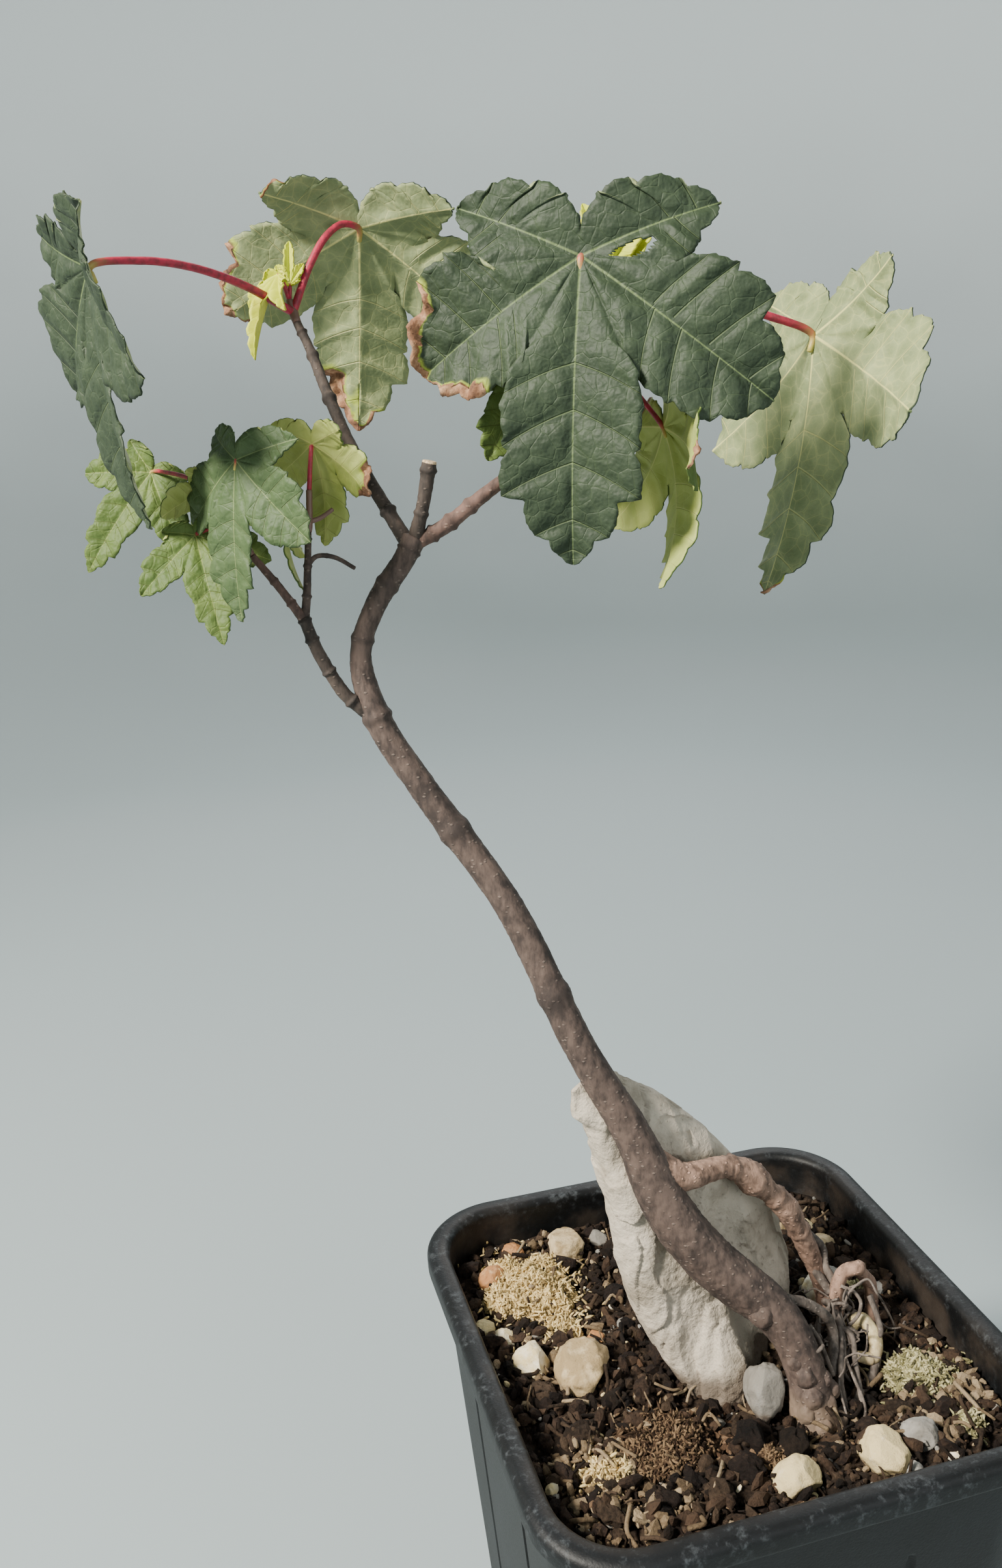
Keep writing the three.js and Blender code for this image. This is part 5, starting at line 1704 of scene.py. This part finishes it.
@dataclass(frozen=True)
class Leaf:
    """A five-lobed blade: where it is joined, how it hangs, and what is scorched or torn.

    start is its bend on the shoot, tip and face are the azimuth and elevation of the midrib and of
    the upper face, lift is the slope at the junction and droop how far each lobe bends down.
    """

    start: int
    at: Triple
    size: float
    tip: tuple[float, float]
    face: tuple[float, float]
    lift: float
    droop: float
    rise: float
    breadth: float = 1
    fold: float = 9
    lobes: tuple[float, ...] = (1, 1, 1, 1, 1)
    angles: tuple[float, ...] = LOBE_ANGLES
    scorches: tuple[Scorch, ...] = ()
    tears: tuple[Tear, ...] = ()
    age: Age = Age.MATURE
    seed: int = 1

    def axes(self) -> tuple[Array, Array, Array]:
        """Unit vectors towards the tip, across the blade and out of its upper face."""
        a = heading(*self.tip)
        face = heading(*self.face)
        n = unit(face - a * (face @ a))
        return a, np.cross(n, a), n

    def lobe_length(self, i: int) -> float:
        """A lobe's length in millimetres."""
        return LOBE_LENGTHS[i] * self.lobes[i] * self.size

    def bent(self, i: int, along: Array, across: Array, relief: Array) -> Array:
        """Bends a lobe's flat places: an arc along its vein, a rise by the fold across it.

        Args:
            i: The lobe.
            along: Distance along its vein.
            across: Distance from its vein, signed.
            relief: Height above the plain blade.

        Returns:
            Places, shape (..., 3).
        """
        a, b, n = self.axes()
        length = self.lobe_length(i)
        lift, bend, angle, fold = np.radians([self.lift, -self.droop, self.angles[i], self.fold])
        bend += 1e-6
        turn = lift + bend * along / length
        reach = length / bend * (np.sin(turn) - math.sin(lift))
        rise = -length / bend * (np.cos(turn) - math.cos(lift))
        outward = a * math.cos(angle) + b * math.sin(angle)
        sideways = -a * math.sin(angle) + b * math.cos(angle)
        up = np.cos(turn)[..., None] * n - np.sin(turn)[..., None] * outward
        lifted = np.abs(across) * math.sin(fold) + relief
        middle = np.array(self.at) + reach[..., None] * outward + rise[..., None] * n
        return middle + (across * math.cos(fold))[..., None] * sideways + lifted[..., None] * up

    def blended(self, i: int, along: Array, across: Array, relief: Array) -> Array:
        """The bent places, drawn halfway to the neighbouring lobe's on the line to their notch.

        Args:
            i: The lobe.
            along: Distance along its vein.
            across: Distance from its vein, signed.
            relief: Height above the plain blade.

        Returns:
            Places, shape (..., 3).
        """
        spot = self.bent(i, along, across, relief)
        radius, angle = np.hypot(along, across), np.arctan2(across, along)
        for side in (-1, 1):
            if self.outer(i, side):
                continue
            j = i + side
            between = math.radians(self.angles[j] - self.angles[i])
            notch = NOTCH_RADII[min(i, j)] * self.size
            share = 0.5 * smooth(angle * side / (abs(between) / 2))
            share = share * smooth((1.35 * notch - radius) / (0.35 * notch))
            turned = angle - between
            other = self.bent(j, radius * np.cos(turned), radius * np.sin(turned), relief)
            spot = spot + (other - spot) * share[..., None]
        return spot

    @staticmethod
    def outer(i: int, side: int) -> bool:
        """Whether that side of lobe i has no neighbour."""
        return (i, side) in ((0, -1), (4, 1))

    def edge(self, i: int, side: int, rows: int) -> tuple[Array, Array]:
        """One side's margin from its notch, or the junction, to the tip.

        Args:
            i: The lobe.
            side: -1 or 1.
            rows: How many places to return, less one.

        Returns:
            Places (rows + 1, 2) as along and across, and the rows at which teeth stand.
        """
        length = self.lobe_length(i)
        breadth = self.size * self.breadth
        line = [np.zeros(2) if self.outer(i, side) else self.notch(i, side)]
        teeth_at = []
        for share, before, after in SIDES_OF_LOBE[i][side > 0].value:
            line += self.bulged(line[-1], np.array([share * length, before * breadth]))
            teeth_at.append(len(line) - 1)
            line.append(np.array([(share + 0.012) * length, after * breadth]))
        line += self.bulged(line[-1], np.array([length, 0]))
        path = np.array(line)
        run = np.r_[0, np.cumsum(np.linalg.norm(np.diff(path, axis=0), axis=1))]
        run /= run[-1]
        shares = np.linspace(0, 1, rows + 1)
        tooth_rows = [int(round(run[k] * rows)) for k in teeth_at]
        for row, k in zip(tooth_rows, teeth_at):
            shares[min(max(row, 1), rows - 1)] = run[k]
        places = [np.interp(np.sort(shares), run, path[:, k]) for k in (0, 1)]
        return np.stack([places[0], places[1] * side], axis=1), np.array(tooth_rows)

    @staticmethod
    def bulged(first: Array, last: Array) -> list[Array]:
        """An outward arc with two small serrations and a dip before the tooth.

        Args:
            first: Where it starts.
            last: Where it ends.

        Returns:
            Places after the first, up to the last.
        """
        share = np.linspace(0, 1, 22)[1:, None]
        chord = last - first
        out = np.array([-chord[1], chord[0]])
        swell = 0.1 * np.sin(math.pi * share**0.8)
        saw = 0.055 * (share * 3 % 1) ** 2 * (share < 0.99)
        dip = 0.07 * np.exp(-(((share - 0.9) / 0.07) ** 2))
        return list(first + chord * share + out * (swell + saw - dip))

    def notch(self, i: int, side: int) -> Array:
        """The inner corner between lobe i and its neighbour on that side, as along and |across|."""
        low = min(i, i + side)
        half = math.radians(self.angles[low + 1] - self.angles[low]) / 2
        radius = NOTCH_RADII[low] * self.size
        return np.array([radius * math.cos(half), radius * math.sin(half)])

    def half_lobe(self, i: int, side: int, rows: int, columns: int) -> Surface:
        """One side of a lobe: rows that slant forward from its vein to its margin, as side veins do.

        Inside the notch they end on the line to the notch, where both lobes' rows meet.

        Args:
            i: The lobe.
            side: -1 or 1.
            rows: Rows past the notch.
            columns: Columns from vein to margin.

        Returns:
            The surface with the values "main" and "side", distances from veins, "burn" and "torn".
        """
        inner = max(4, rows // 5)
        length, start = self.lobe_length(i), 0.2 * self.size
        outer = self.outer(i, side)
        margin, teeth = self.edge(i, side, rows + inner * outer)
        if not outer:
            steps = np.linspace(0, 1, inner + 1)[:-1, None]
            margin = np.vstack([self.notch(i, side) * np.array([1, side]) * steps, margin])
            teeth = teeth + inner
        vein = np.r_[np.linspace(0, start, inner + 1)[:-1], np.linspace(start, length, rows + 1)]
        share = np.linspace(0, 1, columns + 1) ** 1.15
        across = margin[:, 1:] * share
        forward = margin[:, :1] - vein[:, None]
        along = vein[:, None] + forward * share + forward * 0.3 * share * (share - 1)
        number = np.arange(len(vein))[:, None]
        fraction = number / (len(vein) - 1) + 0 * share
        reach = np.hypot(along, across) / self.size
        # Distances from the side veins, one to each tooth, and from the main vein
        scale = FULL_SIZE / self.size
        vein_rows = np.r_[0.55 * inner, (inner + teeth[0]) / 2, teeth].round()
        off = np.abs(number - vein_rows[None]).min(axis=1, keepdims=True)
        side_gap = off * (length - start) / rows * 0.75 * scale * (1 + 0.8 * share)
        side_gap = side_gap + 2 * (1 - smooth(reach, 0.14, 0.3))
        main_gap = np.abs(across) * scale * (1 + 1.3 * np.clip(along / length, 0, 1))
        # Relief
        flat = np.stack([along, across, np.full_like(along, 7 * i)], axis=-1)
        ripple = noise(flat + 40 * self.seed, 0.16 * self.size, self.seed, 2)
        crumple = noise(flat + 9 * self.seed, 0.05 * self.size, self.seed + 2, 2)
        burn = self.scorched(i, side, fraction, share, ripple, crumple)
        pillow = (1 - np.exp(-((side_gap / 1.6) ** 2))) * (1 - np.exp(-((main_gap / 1.8) ** 2)))
        curl = burn * (0.06 * ripple + 0.04 * crumple + 0.02)
        relief = (PILLOW + CRUMPLE * crumple) * pillow + WAVE * ripple * share**1.5 + curl
        relief = self.size * relief * smooth(reach, 0, 0.12)
        if not outer:
            relief = relief * (1 - (number <= inner) * share**4)
        torn = self.torn(i, along, across, crumple)
        values = {"main": main_gap, "side": side_gap, "burn": burn, "torn": torn}
        made = Surface.of_grid(self.blended(i, along, across, relief), values=values)
        return made if side > 0 else made.flipped()

    def scorched(
        self, i: int, side: int, fraction: Array, share: Array, ripple: Array, crumple: Array
    ) -> Array:
        """How far one side of a lobe is scorched: in from the margin, and all over its very tip.

        Args:
            i: The lobe.
            side: -1 or 1.
            fraction: Share of the rows.
            share: Share of the way from vein to margin.
            ripple: Broad noise for the burn's edge.
            crumple: Fine noise for it.

        Returns:
            0 where the blade is fresh to 1 where it is dry.
        """
        burn = np.zeros_like(fraction)
        uneven = 0.12 * ripple + 0.06 * crumple
        for patch in (p for p in self.scorches if (p.lobe, p.side) == (i, side)):
            stretch = smooth(fraction, patch.start - 0.06, patch.start + 0.08)
            stretch = stretch * (1 - smooth(fraction, patch.end - 0.08, patch.end + 0.05))
            rim = smooth(share + uneven, 1 - 1.3 * patch.depth, 1 - 0.5 * patch.depth)
            tip = smooth(fraction + uneven, 0.98 - 0.35 * patch.depth, 1 - 0.05 * patch.depth)
            burn = np.maximum(burn, stretch * np.maximum(rim, tip))
        return burn

    def torn(self, i: int, along: Array, across: Array, crumple: Array) -> Array:
        """1 inside the lobe's tears, ovals that the fine noise makes uneven, and 0 elsewhere.

        Args:
            i: The lobe.
            along: Distance along its vein.
            across: Distance from its vein, signed.
            crumple: Fine noise.

        Returns:
            An array like along.
        """
        inside = np.zeros_like(along)
        for tear in (t for t in self.tears if t.lobe == i):
            u = (along / self.size - tear.along) / tear.half_along
            v = (across / self.size - tear.across) / tear.half_across
            inside = np.maximum(inside, (u * u + v * v + 0.4 * crumple < 1).astype(float))
        return inside

    def surface(self) -> Surface:
        """The whole blade as one open sheet that faces up, with the number of its finish."""
        rows = int(np.clip(self.size * 1.4, 24, 76))
        columns = int(np.clip(self.size * 0.24, 6, 13))
        parts = [self.half_lobe(i, side, rows, columns) for i in range(5) for side in (-1, 1)]
        sheet = Surface.joined(parts).welded(0.02)
        torn = sheet.values.pop("torn")
        sheet.quads = sheet.quads[(torn[sheet.quads] > 0.5).sum(axis=1) < 3]
        dry = sheet.values["burn"][sheet.quads].mean(axis=1) > 0.5
        sheet.finish = np.where(dry, len(BLADES) - 2, self.age.value)
        return sheet

    def stalk(self, origin: Array) -> Surface:
        """The stalk: a bowed line from its origin on the shoot to just past the junction.

        Args:
            origin: Its place on the shoot.

        Returns:
            The closed surface, under the blade at its end.
        """
        a, _, n = self.axes()
        radius = max(0.42, 0.016 * self.size)
        end = np.array(self.at) - 0.5 * radius * n
        middle = origin + (end - origin) * 0.55 + np.array([0, 0, 2 * self.rise])
        bends = [
            (*((1 - t) ** 2 * origin + 2 * t * (1 - t) * middle + t * t * end), radius * (1.15 - 0.25 * t))
            for t in (0, 0.25, 0.5, 0.75, 1)
        ]
        bends.append((*(end + a * 0.06 * self.size), 0.7 * radius))
        return Tube(tuple(bends), columns=14, step=0.8, relief=0.05, seed=self.seed).surface(ripe=True)


@dataclass(frozen=True)
class Shoot:
    """The tip of a limb with its leaves; its first bend follows the limb's end."""

    limb: str
    bends: tuple[Bend, ...]
    leaves: tuple[Leaf, ...]
    spur: tuple[Bend, ...] = ()


SHOOTS: dict[str, Shoot] = {
    "left_foliage": Shoot(
        "left_leader",
        ((-67.5, 62.4, 328.3, 1), (-68, 63.3, 330.6, 0.7)),
        (
            Leaf(0, (-106, 41, 334.8), 46.5, (5, -77), (-169, -13), 14, 17, 4, seed=1),
            Leaf(
                0, (-51.5, 71, 345), 45, (83, -55), (71, 34), 0, 21, 6, seed=2,
                scorches=(
                    Scorch(2, 1, 0.62, 0.5), Scorch(2, -1, 0.85, 0.3), Scorch(3, 1, 0.55, 0.16),
                    Scorch(3, -1, 0.75, 0.2), Scorch(4, 1, 0.8, 0.12),
                ),
            ),
            Leaf(
                1, (-70, 62, 335.5), 18, (-148, -60), (-150, 30), 5, 20, 0.5, 0.5, 56, CLOSED_LOBES,
                CLOSED_ANGLES, age=Age.BUD, seed=3,
            ),
            Leaf(
                1, (-67.6, 63.6, 333.6), 9, (75, 70), (-105, 20), 5, 10, 0, 0.6, 48, CLOSED_LOBES,
                CLOSED_ANGLES, age=Age.BUD, seed=4,
            ),
        ),
    ),
    "right_foliage": Shoot(
        "right_bough",
        ((-13, 30.2, 316.3, 1.1), (-10.5, 32, 321.5, 0.85), (-9.2, 33.4, 327.5, 0.9), (-9, 34.2, 331, 0.6)),
        (
            Leaf(
                2, (-22, 18.5, 334.5), 55, (-130, -80), (-119, 10), 8, 33, 1.5, lobes=(1, 0.86, 1, 1.03, 1),
                scorches=(Scorch(1, -1, 0.55, 0.2), Scorch(1, 1, 0.5, 0.2)), seed=5,
                tears=(Tear(4, 0.165, -0.05, 0.08, 0.028),),
            ),
            Leaf(
                2, (34, 34.5, 321), 53, (-166, -78), (3, -11), 10, 20, 3, angles=(-120, -66, 0, 56, 112),
                scorches=(Scorch(2, 1, 0.93, 0.2), Scorch(2, -1, 0.9, 0.15)), seed=6,
            ),
            Leaf(
                0, (-4, 22.5, 304.5), 32, (-64, -68), (4, 8), 4, 46, 1, age=Age.YOUNG, seed=7,
                scorches=(
                    Scorch(0, -1, 0.3, 0.9), Scorch(0, 1, 0.5, 0.9), Scorch(4, -1, 0.5, 0.7),
                    Scorch(4, 1, 0.4, 0.7), Scorch(1, -1, 0.8, 0.3),
                ),
            ),
            Leaf(0, (-27, 33.5, 318), 21, (178, -66), (-85, 12), 5, 20, 1.5, age=Age.YOUNG, seed=8),
            Leaf(3, (-10.3, 34.6, 334), 13, (146, 66), (-106, 20), 5, 15, 0, 0.8, 35, age=Age.BUD, seed=9),
            Leaf(3, (-7.6, 34.4, 333.6), 10, (6, 53), (-100, 30), 5, 15, 0, 0.7, 35, age=Age.BUD, seed=10),
        ),
    ),
    "side_left_foliage": Shoot(
        "side_left_twig",
        ((-83.6, 31.3, 286, 0.8), (-84.4, 32.2, 290.4, 0.7), (-85.3, 33, 294, 0.6)),
        (
            Leaf(
                2, (-84.5, 27, 301.5), 29, (-156, -74), (-150, 16), -6, 16, 1.5, 0.9, age=Age.GROWING,
                seed=11,
            ),
            Leaf(
                2, (-98.4, 58.8, 298.5), 24, (178, -53), (-105, 25), 12, 26, 1.5, 0.65,
                lobes=(0.7, 0.75, 1, 0.9, 0.7), age=Age.YOUNG, seed=12,
            ),
            Leaf(
                1, (-92, 39.5, 287.6), 22, (-75, -62), (-105, 22), 6, 16, 0.5, 0.65,
                lobes=(0.6, 0.9, 1, 0.9, 0.6), age=Age.YOUNG, seed=13,
            ),
            Leaf(
                1, (-86.8, 43.8, 296.5), 16.5, (120, -60), (100, 30), 5, 30, 1, 0.85, age=Age.YOUNG,
                seed=14,
            ),
        ),
    ),
    "side_upright_foliage": Shoot(
        "side_upright_twig",
        ((-71, 36, 288.6, 0.72), (-70.6, 36.6, 292, 0.62), (-70.4, 36.9, 295, 0.6)),
        (
            Leaf(
                2, (-69, 38, 303.5), 20, (48, -73), (42, 17), 10, 39, 0.5, age=Age.YOUNG, seed=15,
                scorches=(Scorch(1, -1, 0.6, 0.6), Scorch(1, 1, 0.7, 0.6)),
            ),
            Leaf(0, (-75, 38.7, 290.5), 15, (-100, -72), (160, 15), 5, 30, 1, 0.7, age=Age.YOUNG, seed=16),
        ),
        ((-70.8, 36.4, 289.2, 0.5), (-68.6, 36.7, 289.8, 0.45), (-66.2, 36.5, 291.3, 0.4)),
    ),
}


@dataclass
class Foliage:
    """The masses of foliage: for each, its blades as one piece and its stalks as another."""

    thickness: float = 0.32

    def build(self) -> None:
        """Makes both pieces of each mass."""
        for name, shoot in SHOOTS.items():
            sheet = Surface.joined([leaf.surface() for leaf in shoot.leaves])
            blades = sheet.object(name + "_blades", BLADES)
            self.thicken(blades)
            slot = "young_leaves" if name.startswith("side") else "leaves"
            place(blades, slot, name)
            place(self.stalks(shoot).object(name + "_stalks", [STALK]), slot, name)

    def thicken(self, blades: bpy.types.Object) -> None:
        """Gives the sheet its thickness downwards, with the underside's finish below."""
        solid = blades.modifiers.new("thickness", "SOLIDIFY")
        solid.thickness = self.thickness * MM
        solid.offset = -1
        solid.material_offset = 1
        solid.material_offset_rim = 0

    def stalks(self, shoot: Shoot) -> Surface:
        """A shoot's tip, its spur and its leaf stalks.

        Args:
            shoot: The shoot.

        Returns:
            The joined surface with the value "wood", 1 on the tip and the spur.
        """
        limb_end, first = np.array(LIMBS[shoot.limb].bends[-1]), np.array(shoot.bends[0])
        foot = (*(limb_end[:3] + unit(first[:3] - limb_end[:3]) * 0.2), limb_end[3])
        parts = [Tube((foot, *shoot.bends), columns=16, relief=0.08, seed=3).surface()]
        if shoot.spur:
            parts.append(Tube(shoot.spur, columns=12, relief=0.08, seed=4).surface())
        stalks = [leaf.stalk(np.array(shoot.bends[leaf.start][:3])) for leaf in shoot.leaves]
        return Surface.joined([part.marked("wood", 1) for part in parts] + stalks)


# Studio


@dataclass
class Studio:
    """The pale floor, the soft lights and the camera at the photograph's viewing angle."""

    camera_at: Triple = (-105.79, -213.14, 311.65)
    forward: Triple = (0.2632, 0.9201, -0.2902)
    right: Triple = (0.9587, -0.2829, -0.0276)
    focal_length: float = 29.6
    film: float = 36
    flat_reach: float = 900
    sweep: float = 1100
    wall_height: float = 4500
    aim: Triple = (0, 0, 190)
    sky_strength: float = 0.5
    # Name, place, size, power in watts and linear colour
    lamps: tuple[tuple[str, Triple, float, float, Triple], ...] = (
        ("key", (-820, -230, 900), 220, 38, (1, 0.95, 0.85)),
        ("fill", (400, -900, 500), 700, 3, (0.93, 0.97, 1)),
        ("back", (350, 800, 700), 600, 4, (1, 1, 1)),
    )

    def build(self) -> None:
        """Makes the floor, the world, the lights and the camera."""
        self.floor()
        self.sky()
        self.lights()
        self.camera()

    def floor(self) -> bpy.types.Object:
        """The pale floor: flat under the plant, swept up round it like a bowl."""
        turn = np.linspace(0, math.pi / 2, 25)
        edge = self.flat_reach + self.sweep
        out = np.r_[0, 0.5 * self.flat_reach, self.flat_reach + self.sweep * np.sin(turn), edge]
        up = np.r_[0, 0, self.sweep * (1 - np.cos(turn)), self.wall_height]
        c, s = circle(96)
        grid = np.stack([out[:, None] * c, out[:, None] * s, up[:, None] + 0 * c], axis=-1)
        bowl = Surface.of_grid(grid, around=True).flipped().welded(1e-3)
        return bowl.object("studio_floor", [Paper("pale_floor")])

    def sky(self) -> None:
        """An even pale surround."""
        world = bpy.data.worlds.new("studio_sky")
        bpy.context.scene.world = world
        world.use_nodes = True
        backdrop = world.node_tree.nodes["Background"]
        backdrop.inputs["Color"].default_value = tint("cfd8dc")
        backdrop.inputs["Strength"].default_value = self.sky_strength

    def lights(self) -> None:
        """Round lamps that look at the middle of the tree."""
        for name, at, size, power, colour in self.lamps:
            lamp = bpy.data.lights.new(name, "AREA")
            lamp.shape = "DISK"
            lamp.size = size * MM
            lamp.energy = power
            lamp.color = colour
            holder = bpy.data.objects.new(name, lamp)
            holder.location = Vector(at) * MM
            aim = Vector(self.aim) * MM - holder.location
            holder.rotation_euler = aim.to_track_quat("-Z", "Y").to_euler()
            bpy.context.scene.collection.objects.link(holder)

    def camera(self) -> None:
        """The camera: its rotation's columns are right, up and backward."""
        lens = bpy.data.cameras.new("camera")
        lens.lens = self.focal_length
        lens.sensor_width = self.film
        lens.clip_start = 0.01
        lens.clip_end = 50
        backward = -Vector(self.forward).normalized()
        right = Vector(self.right)
        right = (right - backward * right.dot(backward)).normalized()
        up = backward.cross(right)
        turn = Matrix((right, up, backward)).transposed().to_4x4()
        holder = bpy.data.objects.new("camera", lens)
        holder.matrix_world = Matrix.Translation(Vector(self.camera_at) * MM) @ turn
        bpy.context.scene.collection.objects.link(holder)
        bpy.context.scene.camera = holder


def main() -> None:
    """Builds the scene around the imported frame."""
    logging.basicConfig(level=logging.INFO, format="%(name)s: %(message)s")
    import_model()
    Studio().build()
    pot = Pot()
    pot.build()
    Ground(pot).build()
    Rock().build()
    Wood().build()
    Foliage().build()
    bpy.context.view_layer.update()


if __name__ == "__main__":
    main()
